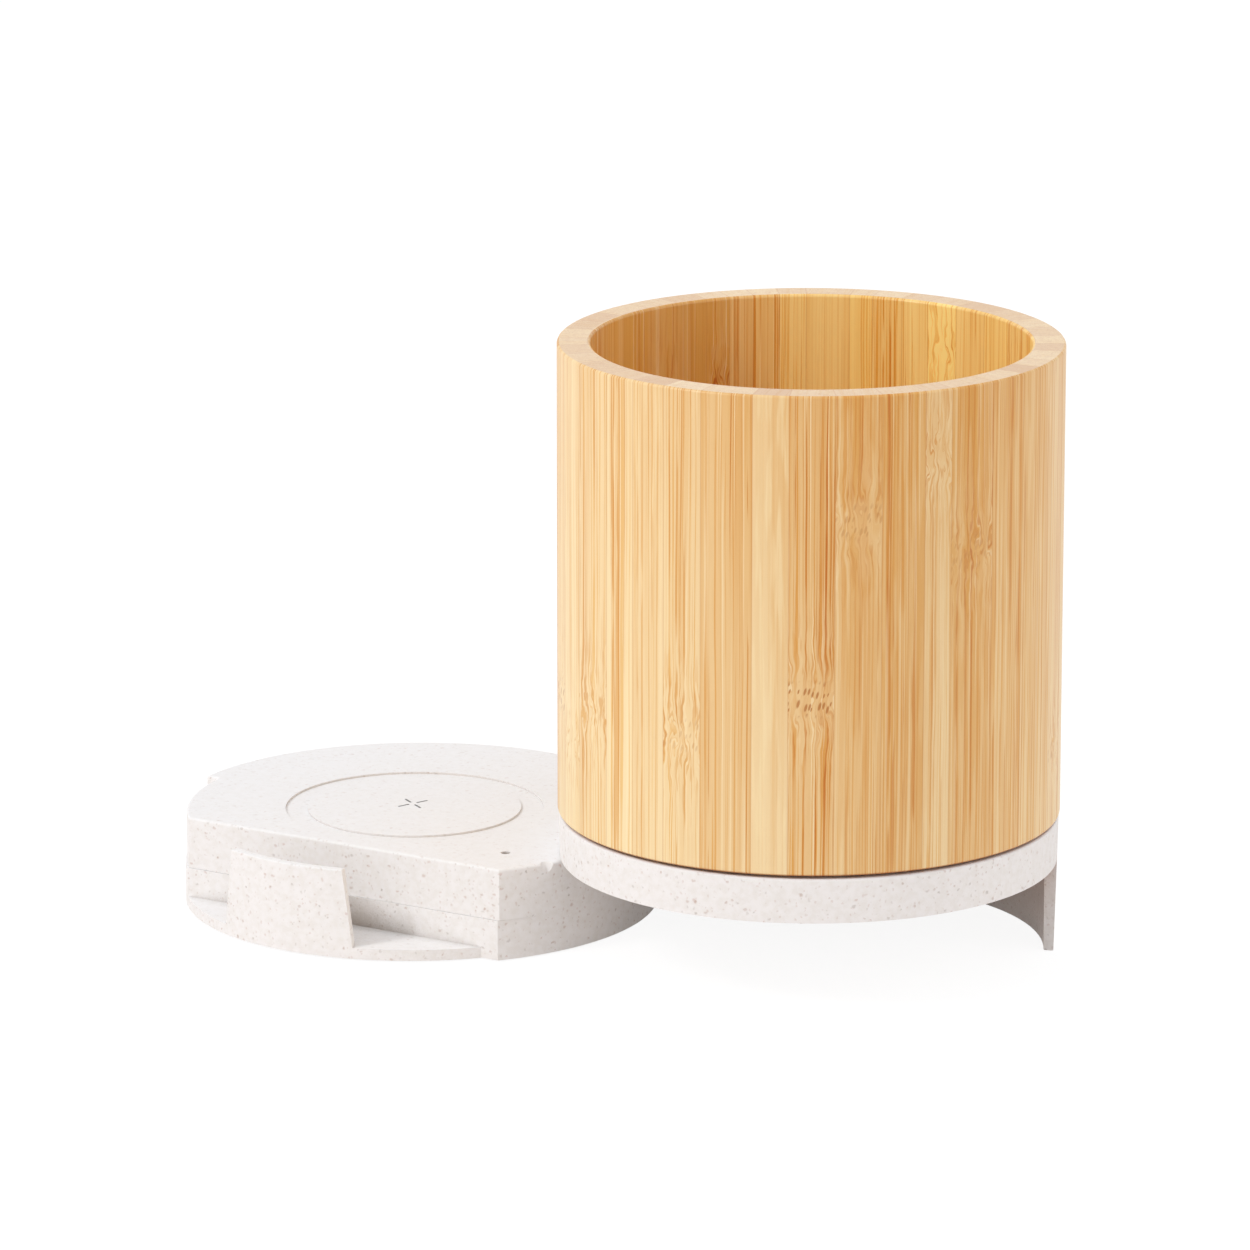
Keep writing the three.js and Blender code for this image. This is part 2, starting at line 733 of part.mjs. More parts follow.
// The plate under the base, with countersunk holes and a bite for the swivel boss
function underplateBody() {
  let plate = rod(apronInner - underplate.fit, baseFoot, underplateTop, facets.large);
  plate = plate.subtract(rod(
    pivot.boss + underplate.fit,
    baseFoot - overrun,
    underplateTop + overrun,
    facets.medium,
    pivotPlace,
  ));
  plateScrewPlaces.forEach((place) => {
    const hole = plateScrew.shank + boreGap;
    const sink = plateScrew.head + boreGap;
    plate = plate.subtract(turned([
      [0, baseFoot - overrun],
      [sink, baseFoot - overrun],
      [sink, baseFoot],
      [hole, baseFoot + sink - hole],
      [hole, underplateTop + overrun],
      [0, underplateTop + overrun],
    ], facets.small, place));
  });
  return plate;
}

function plateScrews() {
  const { head, shank, length } = plateScrew;
  return plateScrewPlaces.map((place) => turned([
    [0, baseFoot],
    [head, baseFoot],
    [shank, baseFoot + head - shank],
    [shank, baseFoot + length - shank],
    [0, baseFoot + length],
  ], facets.small, place));
}

// The bamboo cup, its floor and the screws that hold them down on the base
function bambooCup() {
  const { height, footRound, rimOuter, rimInner } = cup;
  const rim = cupFoot + height;
  return turned([
    [cupInner, cupFoot],
    ...quarter(cupRadius - footRound, cupFoot + footRound, footRound, 270),
    [cupRadius, rim - rimOuter],
    [cupRadius - rimOuter, rim],
    [cupInner + rimInner, rim],
    [cupInner, rim - rimInner],
  ]);
}

function cupFloorBody() {
  const radius = cupInner - cupFloor.fit;
  const top = cupFoot + cupFloor.thickness;
  const hole = cupScrew.shank + boreGap;
  let floor = turned([
    [0, cupFoot],
    [radius, cupFoot],
    [radius, top - cupFloor.edge],
    [radius - cupFloor.edge, top],
    [0, top],
  ]);
  cupScrewPlaces.forEach((place) => {
    const depth = cupFoot + cupScrew.bite + boreGap;
    floor = floor.subtract(rod(hole, cupFoot - overrun, depth, facets.small, place));
  });
  return floor;
}

function cupScrews() {
  const high = cupFoot + cupScrew.bite;
  const low = basePlateUnder - seatGap - cupScrew.headHeight;
  return cupScrewPlaces.map((place) => screwBody(
    cupScrew.head,
    cupScrew.headHeight,
    cupScrew.shank,
    low,
    high,
    place,
  ));
}

// Finishes
const finish = {
  bamboo: { color: 0xe9bd80, roughness: 0.55, metalness: 0 },
  endGrain: { color: 0xe2b57a, roughness: 0.65, metalness: 0 },
  speckled: { color: 0xe9e5e1, roughness: 0.6, metalness: 0 },
  silicone: { color: 0x8d8a86, roughness: 0.85, metalness: 0 },
  steel: { color: 0xb9bcc0, roughness: 0.35, metalness: 1 },
  brass: { color: 0xc9a04e, roughness: 0.35, metalness: 1 },
  copper: { color: 0xb8703f, roughness: 0.45, metalness: 1 },
  ferrite: { color: 0x3a3735, roughness: 0.8, metalness: 0 },
  boardGreen: { color: 0x1f6a41, roughness: 0.5, metalness: 0 },
  chipBlack: { color: 0x202124, roughness: 0.5, metalness: 0 },
  capacitor: { color: 0xb59a74, roughness: 0.6, metalness: 0 },
  clear: { color: 0xdfe9ee, roughness: 0.1, metalness: 0 },
  acetal: { color: 0xf1efe8, roughness: 0.4, metalness: 0 },
};

function part(name, body, look) {
  const material = new THREE.MeshStandardMaterial({ ...look, flatShading: true });
  const mesh = new THREE.Mesh(geometryOf(body), material);
  mesh.name = name;
  return mesh;
}

// One mesh for each copy of a repeated piece, numbered from 1
function copies(name, bodies, look) {
  return bodies.map((body, i) => part(`${name}_${i + 1}`, body, look));
}

const chip = onBoard(powerChip.x, powerChip.y, powerChip.side, powerChip.side, powerChip.height);

const chargerGroup = new THREE.Group();
chargerGroup.add(
  part('charger_tray', chargerTray(), finish.speckled),
  part('charger_cover', chargerCover(), finish.speckled),
  part('grip_pad', gripPadBody(), finish.silicone),
  ...copies('shell_screw', shellScrews(), finish.steel),
  part('charging_coil', chargingCoil(), finish.copper),
  part('ferrite_sheet', ferriteSheet(), finish.ferrite),
  ...copies('coil_lead', coilLeads(), finish.copper),
  part('circuit_board', circuitBoard(), finish.boardGreen),
  part('power_chip', chip, finish.chipBlack),
  ...copies('driver_chip', driverChipRow(), finish.chipBlack),
  part('power_inductor', inductorBody(), finish.ferrite),
  ...copies('capacitor', capacitorRow(), finish.capacitor),
  part('status_lamp', statusLampBody(), finish.clear),
  part('light_pipe', lightPipeBody(), finish.clear),
  part('inlet_shell', inletShell(), finish.steel),
  part('inlet_insert', inletInsert(), finish.chipBlack),
);

// The cup side is drawn closed, over the charger, and then swung open about the swivel axis
const closedFrame = new THREE.Group();
closedFrame.position.set(-pivotReach, 0, 0);
closedFrame.add(
  part('swivel_base', swivelBase(), finish.speckled),
  part('base_underplate', underplateBody(), finish.speckled),
  ...copies('underplate_screw', plateScrews(), finish.steel),
  part('bamboo_cup', bambooCup(), finish.bamboo),
  part('cup_floor', cupFloorBody(), finish.endGrain),
  ...copies('cup_screw', cupScrews(), finish.steel),
  part('pivot_screw', pivotScrewBody(), finish.steel),
  part('pivot_insert', pivotInsertBody(), finish.brass),
  part('spring_washer', springWasherBody(), finish.steel),
  part('thrust_washer', thrustWasherBody(), finish.acetal),
);

const swivel = new THREE.Group();
swivel.position.set(pivotReach, 0, 0);
swivel.rotation.z = radians(pivot.openAngle);
swivel.add(closedFrame);

const penHolder = new THREE.Group();
penHolder.add(chargerGroup, swivel);

export default penHolder;
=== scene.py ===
import json
import math
import random

import bmesh
import bpy
from mathutils import Matrix, Vector


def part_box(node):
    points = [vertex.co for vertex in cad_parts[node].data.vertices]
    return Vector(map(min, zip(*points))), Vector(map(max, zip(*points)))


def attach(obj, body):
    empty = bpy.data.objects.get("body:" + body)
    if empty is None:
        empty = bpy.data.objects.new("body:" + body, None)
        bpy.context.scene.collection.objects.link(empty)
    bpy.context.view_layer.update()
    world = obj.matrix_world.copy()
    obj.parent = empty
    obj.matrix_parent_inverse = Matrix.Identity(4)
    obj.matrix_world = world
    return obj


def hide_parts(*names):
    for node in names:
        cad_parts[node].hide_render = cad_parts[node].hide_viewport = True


# A bamboo pen holder on a base that swivels off a round wireless charger.
# Shapes are drawn in millimetres and brought to metres at the end.
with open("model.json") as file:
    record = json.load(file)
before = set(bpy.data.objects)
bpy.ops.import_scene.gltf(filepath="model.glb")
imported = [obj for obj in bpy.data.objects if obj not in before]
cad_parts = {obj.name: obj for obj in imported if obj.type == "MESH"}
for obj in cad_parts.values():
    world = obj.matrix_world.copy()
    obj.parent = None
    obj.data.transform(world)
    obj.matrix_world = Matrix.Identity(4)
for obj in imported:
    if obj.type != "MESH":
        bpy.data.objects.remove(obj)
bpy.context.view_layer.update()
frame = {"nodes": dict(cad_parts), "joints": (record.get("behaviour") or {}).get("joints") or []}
millimetre = 0.001


def centreOf(node):
    low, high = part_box(node)
    return (low + high) / 2 / millimetre


def polar(reach, degrees):
    turn = math.radians(degrees)
    return (reach * math.cos(turn), reach * math.sin(turn))


cupCentre = centreOf("bamboo_cup")
pivotCentre = centreOf("pivot_screw")
openAngle = math.radians(-frame["joints"][0]["range_deg"][0])
pivotPlace = (pivotCentre.x, pivotCentre.y)
pivotShift = Matrix.Translation((*pivotPlace, 0))
# takes what is drawn over the charger, as when closed, to its open place
openPlace = pivotShift @ Matrix.Rotation(openAngle, 4, "Z") @ pivotShift.inverted()
print("frame loaded")


# Shader nodes

def colour(red, green, blue):
    def linear(value):
        share = value / 255
        return share / 12.92 if share <= 0.04045 else ((share + 0.055) / 1.055) ** 2.4
    return (linear(red), linear(green), linear(blue), 1)


def feed(tree, socket, value):
    if isinstance(value, bpy.types.NodeSocket):
        tree.links.new(value, socket)
    elif isinstance(socket.default_value, float) or not hasattr(value, "__len__"):
        socket.default_value = value
    else:
        socket.default_value = tuple(value)[:len(socket.default_value)]


def addNode(tree, kind, inputs=None, **settings):
    made = tree.nodes.new("ShaderNode" + kind)
    for key, value in settings.items():
        setattr(made, key, value)
    for key, value in (inputs or {}).items():
        feed(tree, made.inputs[key], value)
    return made


def calc(tree, operation, *values):
    made = addNode(tree, "Math", operation=operation)
    for socket, value in zip(made.inputs, values):
        feed(tree, socket, value)
    return made.outputs[0]


def times(tree, first, *others):
    for value in others:
        first = calc(tree, "MULTIPLY", first, value)
    return first


def scaled(tree, value, factor, added):
    return calc(tree, "MULTIPLY_ADD", value, factor, added)


def fade(tree, value, low, high):
    # 0 below low, 1 above high, smooth between; low may be the greater one
    made = addNode(tree, "MapRange", {"Value": value, "From Min": low, "From Max": high},
                   interpolation_type="SMOOTHSTEP")
    return made.outputs["Result"]


def blend(tree, amount, first, second, mode="MIX"):
    made = addNode(tree, "Mix", data_type="RGBA", blend_type=mode)
    feed(tree, made.inputs[0], amount)
    feed(tree, made.inputs[6], first)
    feed(tree, made.inputs[7], second)
    return made.outputs[2]


def axes(tree, place):
    return addNode(tree, "SeparateXYZ", {"Vector": place}).outputs


def objectPlace(tree):
    return addNode(tree, "TexCoord").outputs["Object"]


def vector(tree, x, y, z):
    return addNode(tree, "CombineXYZ", {"X": x, "Y": y, "Z": z}).outputs[0]


def stretched(tree, across, perAcross, height, perHeight, last):
    return vector(tree, times(tree, across, perAcross), times(tree, height, perHeight), last)


def noise(tree, place, scale, detail=2.0, roughness=0.5):
    inputs = {"Vector": place, "Scale": scale, "Detail": detail, "Roughness": roughness}
    return addNode(tree, "TexNoise", inputs).outputs["Fac"]


# materials by the finish they give, and the names of those that aren't called after it
finishes = {}
materialNames = {"plastic": "speckledPlastic", "basePlastic": "speckledPlasticBase",
                 "copper": "copperWinding", "clear": "clearPlastic"}


def startMaterial(finish, **sockets):
    material = bpy.data.materials.new(materialNames.get(finish, finish))
    finishes[finish] = material
    material.use_nodes = True
    tree = material.node_tree
    shader = tree.nodes["Principled BSDF"]
    for key, value in sockets.items():
        shader.inputs[key.replace("_", " ")].default_value = value
    return tree, shader


def dress(tree, shader, tint, rough, height, strength, depth):
    # depth is the relief's, in millimetres; with no rough the shader's own value stays
    tree.links.new(tint, shader.inputs["Base Color"])
    if rough is not None:
        tree.links.new(rough, shader.inputs["Roughness"])
    relief = {"Height": height, "Strength": strength, "Distance": depth * millimetre}
    tree.links.new(addNode(tree, "Bump", relief).outputs["Normal"], shader.inputs["Normal"])


# The speckled plastic: pale body, faint mottling, and soft specks of straw at several sizes,
# with a painted highlight on faces that look up and painted shade in its own corners
plasticLook = {
    "body": colour(246, 243, 241), "cloud": colour(240, 236, 232),
    # painted highlight: faces that look up turn towards this near-white, as light from above and the
    # white room's reflection show there
    "paintedTopSheen": colour(247, 247, 248),  # what the body turns to on faces that look up
    "mottling": 1.3,  # millimetres
    # mean distance apart and radius in millimetres, share of places with a speck, strength,
    # and how the specks are squashed
    "specks": [
        (0.8, 0.3, 0.6, 0.22, (1, 1, 0.8)), (1.3, 0.36, 0.5, 0.32, (0.7, 1, 1)),
        (2.0, 0.38, 0.5, 0.4, (1, 0.7, 1)), (4.2, 0.4, 0.6, 0.5, (1, 1, 0.75)),
    ],
    "brown": colour(160, 120, 92), "red": colour(190, 134, 108), "grey": colour(150, 134, 120),
    "ragged": 0.3,  # how far a speck's outline strays, in millimetres
    # painted light: on faces that look up the specks are washed pale, as by strong light from above
    "paintedTopWash": 0.5,  # how much of their strength the specks lose on faces that look up
    "roughness": (0.58, 0.68), "grain": 0.3,
}


def speckLayer(tree, place, layer, base, weight):
    shape = plasticLook
    apart, reach, share, strength, squash = layer
    squashed = addNode(tree, "Mapping", {"Vector": place, "Scale": squash}).outputs[0]
    cells = addNode(tree, "TexVoronoi", {"Vector": squashed, "Scale": 1 / (apart * millimetre),
                                         "Randomness": 1.0}).outputs
    chance = addNode(tree, "SeparateColor", {"Color": cells["Color"]}).outputs
    size = reach / apart
    radius = scaled(tree, chance["Green"], size * 0.7, size * 0.5)
    spot = fade(tree, cells["Distance"], radius, times(tree, radius, 0.3))
    present = calc(tree, "LESS_THAN", chance["Red"], share)
    amount = times(tree, spot, present, times(tree, weight, strength))
    warm = blend(tree, chance["Blue"], shape["brown"], shape["red"])
    tint = blend(tree, calc(tree, "GREATER_THAN", chance["Blue"], 0.7), warm, shape["grey"])
    return blend(tree, amount, base, tint)


# Painted shade in a piece's own corners and recesses: the colour it darkens them by, how open a
# spot is where that starts and where it is full, and how far it reaches, in millimetres
paintedCornerShades = {
    "plastic": {"paintedShade": (0.28, 0.22, 0.17, 1), "openness": (0.62, 0.28), "reach": 14},
    "basePlastic": {"paintedShade": (0.62, 0.46, 0.39, 1), "openness": (0.92, 0.5), "reach": 45},
}


def speckledPlastic(finish):
    shape, corner = plasticLook, paintedCornerShades[finish]
    tree, shader = startMaterial(finish, IOR=1.49, Specular_IOR_Level=0.42)
    place = objectPlace(tree)
    clouds = fade(tree, noise(tree, place, 1 / (shape["mottling"] * millimetre), 3.0, 0.6), 0.35, 0.7)
    tint = blend(tree, clouds, shape["body"], shape["cloud"])
    # painted highlight: faces that look up are paled towards a near-white sheen and their specks
    # weakened
    facing = axes(tree, addNode(tree, "NewGeometry").outputs["Normal"])
    upward = calc(tree, "MAXIMUM", facing["Z"], 0.0)
    weight = scaled(tree, upward, -shape["paintedTopWash"], 1.0)
    tint = blend(tree, times(tree, upward, 0.5), tint, shape["paintedTopSheen"])
    stray = addNode(tree, "TexNoise", {"Vector": place, "Scale": 1.6 / millimetre, "Detail": 1.0})
    centred = addNode(tree, "VectorMath", {0: stray.outputs["Color"], 1: (0.5, 0.5, 0.5)},
                      operation="SUBTRACT")
    reach = shape["ragged"] * 2 * millimetre
    ragged = addNode(tree, "VectorMath", {0: centred.outputs[0], 1: (reach, reach, reach), 2: place},
                     operation="MULTIPLY_ADD").outputs[0]
    for layer in shape["specks"]:
        tint = speckLayer(tree, ragged, layer, tint, weight)
    # painted shade: darker where the piece's own corners and recesses hide it from the light
    openness = addNode(tree, "AmbientOcclusion", {"Distance": corner["reach"] * millimetre},
                       only_local=True, samples=8).outputs["AO"]
    tint = blend(tree, fade(tree, openness, *corner["openness"]), tint, corner["paintedShade"], "MULTIPLY")
    low, high = shape["roughness"]
    rough = scaled(tree, noise(tree, place, 900, 2.0), high - low, low)
    texture = noise(tree, place, 1 / (shape["grain"] * millimetre), 3.0, 0.6)
    dress(tree, shader, tint, rough, texture, 0.12, 0.02)


# The bamboo. Its pieces carry: grain = millimetres across and up the stave and the stave's
# own number, tone = pale to deep, with painted shade in it on the inner wall, lines = how
# strong its fibres are, knot = height of its node, dashed = how strong the dashes at its node
# are, seam = millimetres to the nearest joint, rim = 1 on end grain, inside = 1 on the inner wall.
bambooLook = {
    "pale": colour(253, 231, 184), "deep": colour(223, 164, 80),
    # bands, fine fibres and lines deepen the stave's own colour by these
    "band": (0.9, 0.74, 0.5, 1), "fine": (0.87, 0.62, 0.27, 1), "line": (0.78, 0.48, 0.15, 1),
    "light": colour(255, 234, 188), "mark": colour(184, 116, 50),
    # and these multiply the inner wall's, on its pale side and on its deep side; the deep side is partly
    # the staves' own tone and partly painted shade
    "innerPale": (1.1, 1.03, 0.62, 1), "innerDeep": (0.95, 0.99, 1.15, 1),
    # painted shade on the foot's sharp edge, where the gap under the cup lies in shadow, between two
    # heights
    "paintedFootShade": (0.55, 0.32, 0.18, 1), "paintedFootShadeHeights": (26.55, 26.25),
    "patch": colour(251, 226, 176), "joint": colour(196, 128, 66),
    # how much deeper the wood turns with each millimetre of height, about a middle one
    "climb": 0.0036, "climbMiddle": 70.0,
    "rimPale": colour(252, 228, 186), "rimDeep": colour(213, 167, 127),
    "rimDot": colour(198, 150, 110),
}

# Layers of noise: how many to the millimetre across and up the stave, a shift that keeps the
# layers apart, detail, and the two levels between which the layer fades in
woodLayers = {
    "broad": (0.35, 0.006, 3.0, 1.0, 0.3, 0.7),
    "bands": (0.95, 0.006, 11.0, 2.0, 0.44, 0.58),
    "fine": (3.1, 0.009, 23.0, 0.8, 0.53, 0.6),
    "fineGaps": (0.9, 0.035, 0.0, 2.0, 0.38, 0.52),
    "sharp": (2.3, 0.008, 37.0, 0.6, 0.61, 0.65),
    "sharpGaps": (1.1, 0.05, 0.0, 2.0, 0.36, 0.5),
    "light": (2.1, 0.01, 71.0, 1.0, 0.6, 0.66),
    "streaks": (0.8, 0.045, 61.0, 2.0, 0.46, 0.6),
    "cloud": (0.75, 0.12, 51.0, 2.0, 0.48, 0.6),
    "flames": (2.2, 0.12, 83.0, 1.0, 0.56, 0.62),
}

# How much of each the colour takes
woodAmounts = {
    "tone": 0.85, "broad": 0.2, "bands": 0.3, "fine": 0.95, "sharp": 0.95, "light": 0.5,
    "flames": 0.85, "marks": 0.85, "rimDots": 0.32, "rimCloud": 0.25, "joint": 0.35,
}

# Short dark dashes at a node: lean, how many to the millimetre across and up, the share left
# out, and the distances from the node between which they fade in
dashLook = {"lean": -0.25, "across": 1.3, "along": 0.45, "absent": 0.25, "band": (3.6, 2.2)}


def attribute(tree, name):
    return addNode(tree, "Attribute", attribute_name=name).outputs


def bambooFinish():
    look, amounts = bambooLook, woodAmounts
    tree, shader = startMaterial("bamboo", IOR=1.47, Specular_IOR_Level=0.5)
    place = axes(tree, attribute(tree, "grain")["Vector"])
    across, height, number = place["X"], place["Y"], place["Z"]
    tone, lines, knot, dashed, seam, rim, inside = [
        attribute(tree, name)["Fac"]
        for name in ("tone", "lines", "knot", "dashed", "seam", "rim", "inside")]

    # the fibres bend round the node and run straight away from it
    above = calc(tree, "SUBTRACT", height, knot)

    def bell(rate):
        reach = times(tree, above, rate)
        return calc(tree, "POWER", 2.718, times(tree, reach, reach, -1))

    field, wide = bell(0.2), bell(0.085)
    sway = noise(tree, stretched(tree, across, 0.45, height, 0.15, number), 1.0, 2.0)
    drift = noise(tree, stretched(tree, across, 0.2, height, 0.025, number), 1.0, 1.0)
    pull = scaled(tree, field, 3.4, times(tree, wide, 2.0))
    bend = times(tree, calc(tree, "SUBTRACT", sway, 0.5), pull)
    bend = calc(tree, "ADD", bend, times(tree, calc(tree, "SUBTRACT", drift, 0.5), 0.8))
    bent = calc(tree, "ADD", across, bend)

    def layer(name):
        perAcross, perHeight, shift, detail, low, high = woodLayers[name]
        last = calc(tree, "ADD", number, shift)
        spot = stretched(tree, bent, perAcross, height, perHeight, last)
        return fade(tree, noise(tree, spot, 1.0, detail), low, high)

    def tinted(tint, name, *amount):
        mode = "MULTIPLY" if name in ("band", "fine", "line", "paintedFootShade") else "MIX"
        return blend(tree, times(tree, *amount), tint, look[name], mode)

    # away from the node's own band, where the fibres end
    clear = scaled(tree, times(tree, field, dashed), -0.8, 1.0)
    thinned = times(tree, lines, clear)

    depth = calc(tree, "ADD", times(tree, tone, amounts["tone"]),
                 times(tree, layer("broad"), amounts["broad"]))
    climb = times(tree, calc(tree, "SUBTRACT", height, look["climbMiddle"]), look["climb"])
    tint = blend(tree, calc(tree, "ADD", depth, climb), look["pale"], look["deep"])
    plain = times(tree, scaled(tree, lines, -0.6, 0.6), calc(tree, "SUBTRACT", 1.0, inside))
    tint = tinted(tint, "patch", layer("streaks"), plain)
    tint = tinted(tint, "band", layer("bands"), lines, amounts["bands"])
    fine = layer("fine")
    strands = times(tree, scaled(tree, layer("fineGaps"), 0.55, 0.45), thinned)
    tint = tinted(tint, "fine", fine, strands, amounts["fine"])
    tint = tinted(tint, "light", layer("light"), lines, amounts["light"])
    thin = times(tree, layer("sharp"), layer("sharpGaps"), thinned)
    tint = tinted(tint, "line", thin, amounts["sharp"])

    # pale patches, flames and short dark dashes where the node was planed through
    tint = tinted(tint, "patch", layer("cloud"), wide, clear, scaled(tree, tone, -0.28, 0.46))
    share = times(tree, wide, calc(tree, "MAXIMUM", lines, dashed))
    tint = tinted(tint, "line", share, clear, layer("flames"), amounts["flames"])
    slant = scaled(tree, height, dashLook["lean"], across)
    spot = vector(tree, scaled(tree, slant, dashLook["across"], number),
                  times(tree, height, dashLook["along"]), 0.0)
    dashes = addNode(tree, "TexVoronoi", {"Vector": spot, "Scale": 1.0, "Randomness": 0.9},
                     voronoi_dimensions="2D").outputs
    chance = addNode(tree, "SeparateColor", {"Color": dashes["Color"]}).outputs
    size = scaled(tree, chance["Red"], 0.26, 0.2)
    dash = fade(tree, dashes["Distance"], size, times(tree, size, 0.5))
    present = calc(tree, "GREATER_THAN", chance["Green"], dashLook["absent"])
    near = fade(tree, calc(tree, "ABSOLUTE", above), *dashLook["band"])
    marks = times(tree, dash, present, near, dashed)
    tint = tinted(tint, "mark", marks, amounts["marks"])
    # the inner wall's tint, deeper and cooler where its tone carries painted shade
    innerShare = blend(tree, tone, look["innerPale"], look["innerDeep"])
    tint = blend(tree, inside, tint, innerShare, "MULTIPLY")
    # painted shade along the foot, where the gap to the base lies in shadow
    tint = tinted(tint, "paintedFootShade", fade(tree, height, *look["paintedFootShadeHeights"]))

    # end grain on the rim, with dots of fibre
    rimPlace = stretched(tree, across, 2.6, height, 2.6, number)
    pores = addNode(tree, "TexVoronoi", {"Vector": rimPlace, "Scale": 1.0, "Randomness": 1.0})
    dots = fade(tree, pores.outputs["Distance"], 0.42, 0.22)
    draw = addNode(tree, "TexWhiteNoise", {"W": number}, noise_dimensions="1D").outputs["Value"]
    rimTone = scaled(tree, draw, 0.65, times(tree, tone, 0.25))
    rimTint = blend(tree, rimTone, look["rimPale"], look["rimDeep"])
    rimTint = tinted(rimTint, "rimDot", dots, amounts["rimDots"])
    rimCloud = fade(tree, noise(tree, rimPlace, 0.35, 3.0), 0.35, 0.7)
    rimTint = tinted(rimTint, "rimDeep", rimCloud, amounts["rimCloud"])
    tint = blend(tree, rim, tint, rimTint)

    tint = tinted(tint, "joint", fade(tree, seam, 0.14, 0.03), amounts["joint"])
    relief = calc(tree, "SUBTRACT", 1.0, calc(tree, "ADD", times(tree, fine, 0.5), thin))
    relief = calc(tree, "SUBTRACT", relief, marks)
    dress(tree, shader, tint, scaled(tree, fine, 0.14, 0.36), relief, 0.35, 0.05)


# Floor boards of the cup: straight strips of the same bamboo, side by side
boardsLook = {
    "strip": 6.5,  # millimetres wide
    "along": 18.0, "across": 2600.0,  # fibres to the metre along a strip and across it
    "fibre": 0.5,
}


def floorBamboo():
    look, boards = bambooLook, boardsLook
    tree, shader = startMaterial("bambooFloor", IOR=1.47, Specular_IOR_Level=0.4)
    flat = axes(tree, objectPlace(tree))
    strip = calc(tree, "FLOOR", times(tree, flat["Y"], 1 / (boards["strip"] * millimetre)))
    chance = addNode(tree, "TexWhiteNoise", {"W": strip}, noise_dimensions="1D").outputs["Value"]
    grainPlace = stretched(tree, flat["X"], boards["along"], flat["Y"], boards["across"],
                           times(tree, flat["Z"], boards["across"]))
    fibre = fade(tree, noise(tree, grainPlace, 1.0, 3.0), 0.42, 0.68)
    depth = calc(tree, "ADD", times(tree, chance, 0.6), 0.2)
    tint = blend(tree, depth, look["pale"], look["deep"])
    tint = blend(tree, times(tree, fibre, boards["fibre"]), tint, look["fine"], "MULTIPLY")
    dress(tree, shader, tint, scaled(tree, fibre, 0.12, 0.45), fibre, 0.3, 0.05)


# Plain finishes: colour, a second colour, metal, roughness, and the fine grain's size in
# millimetres along each axis
plainLooks = {
    "milky": (colour(242, 238, 233), colour(234, 229, 223), 0.0, 0.45, (0.4, 0.4, 0.4)),
    "silicone": (colour(150, 147, 142), colour(138, 135, 130), 0.0, 0.75, (0.5, 0.5, 0.5)),
    "steel": (colour(190, 192, 195), colour(160, 163, 168), 1.0, 0.34, (1.6, 1.6, 0.06)),
    "brass": (colour(206, 166, 84), colour(184, 142, 62), 1.0, 0.32, (1.2, 1.2, 0.08)),
    "ferrite": (colour(62, 59, 57), colour(50, 48, 46), 0.0, 0.8, (0.6, 0.6, 0.6)),
    "chip": (colour(36, 37, 40), colour(26, 27, 29), 0.0, 0.5, (0.2, 0.2, 0.2)),
    "capacitor": (colour(184, 158, 122), colour(160, 134, 100), 0.0, 0.5, (0.4, 0.4, 0.4)),
    "acetal": (colour(240, 238, 230), colour(228, 226, 218), 0.0, 0.4, (0.8, 0.8, 0.8)),
    "mark": (colour(132, 131, 130), colour(112, 111, 110), 0.0, 0.6, (0.3, 0.3, 0.3)),
}


def plainFinish(name):
    first, second, metal, roughness, size = plainLooks[name]
    tree, shader = startMaterial(name, Metallic=metal)
    place = objectPlace(tree)
    scale = [1 / (side * millimetre) for side in size]
    grain = noise(tree, addNode(tree, "Mapping", {"Vector": place, "Scale": scale}).outputs[0], 1.0, 3.0)
    tint = blend(tree, fade(tree, grain, 0.3, 0.7), first, second)
    dress(tree, shader, tint, scaled(tree, grain, 0.16, roughness - 0.08), grain, 0.2, 0.02)


def copperWinding():
    tree, shader = startMaterial("copper", Metallic=1.0, Roughness=0.35)
    place = objectPlace(tree)
    turns = addNode(tree, "TexWave", {"Vector": place, "Scale": 0.5 / millimetre, "Distortion": 0.0},
                    wave_type="RINGS", rings_direction="Z").outputs["Fac"]
    tint = blend(tree, turns, colour(120, 62, 30), colour(214, 138, 84))
    dress(tree, shader, tint, None, turns, 0.8, 0.2)


def boardFinish():
    tree, shader = startMaterial("board", Roughness=0.4)
    place = objectPlace(tree)
    tracks = addNode(tree, "TexBrick", {"Vector": place, "Scale": 0.12 / millimetre,
                                        "Mortar Size": 0.03, "Color1": colour(24, 96, 58),
                                        "Color2": colour(20, 84, 50), "Mortar": colour(70, 140, 84)})
    weave = noise(tree, place, 2400, 2.0)
    tint = blend(tree, times(tree, weave, 0.4), tracks.outputs["Color"], colour(14, 60, 36))
    dress(tree, shader, tint, None, tracks.outputs["Fac"], 0.3, 0.03)


def clearFinish():
    tree, shader = startMaterial("clear", Transmission_Weight=0.9, IOR=1.49)
    place = objectPlace(tree)
    haze = noise(tree, place, 1500, 2.0)
    tree.links.new(scaled(tree, haze, 0.1, 0.06), shader.inputs["Roughness"])
    tree.links.new(blend(tree, haze, colour(228, 236, 240), colour(240, 244, 246)),
                   shader.inputs["Base Color"])


for plainName in plainLooks:
    plainFinish(plainName)
for plasticName in paintedCornerShades:
    speckledPlastic(plasticName)
bambooFinish()
floorBamboo()
copperWinding()
boardFinish()
clearFinish()
print("materials made")


# Mesh tools

# facets round a turned or drilled shape, and along a rounded edge
facets = {"dash": 16, "peg": 24, "screw": 32, "hole": 40, "fence": 96, "pad": 144,
          "groove": 200, "base": 240, "corner": 6, "tabEdge": 4, "trayEdge": 5}
overrun = 1  # millimetres that cutters and added shapes run past the faces they meet


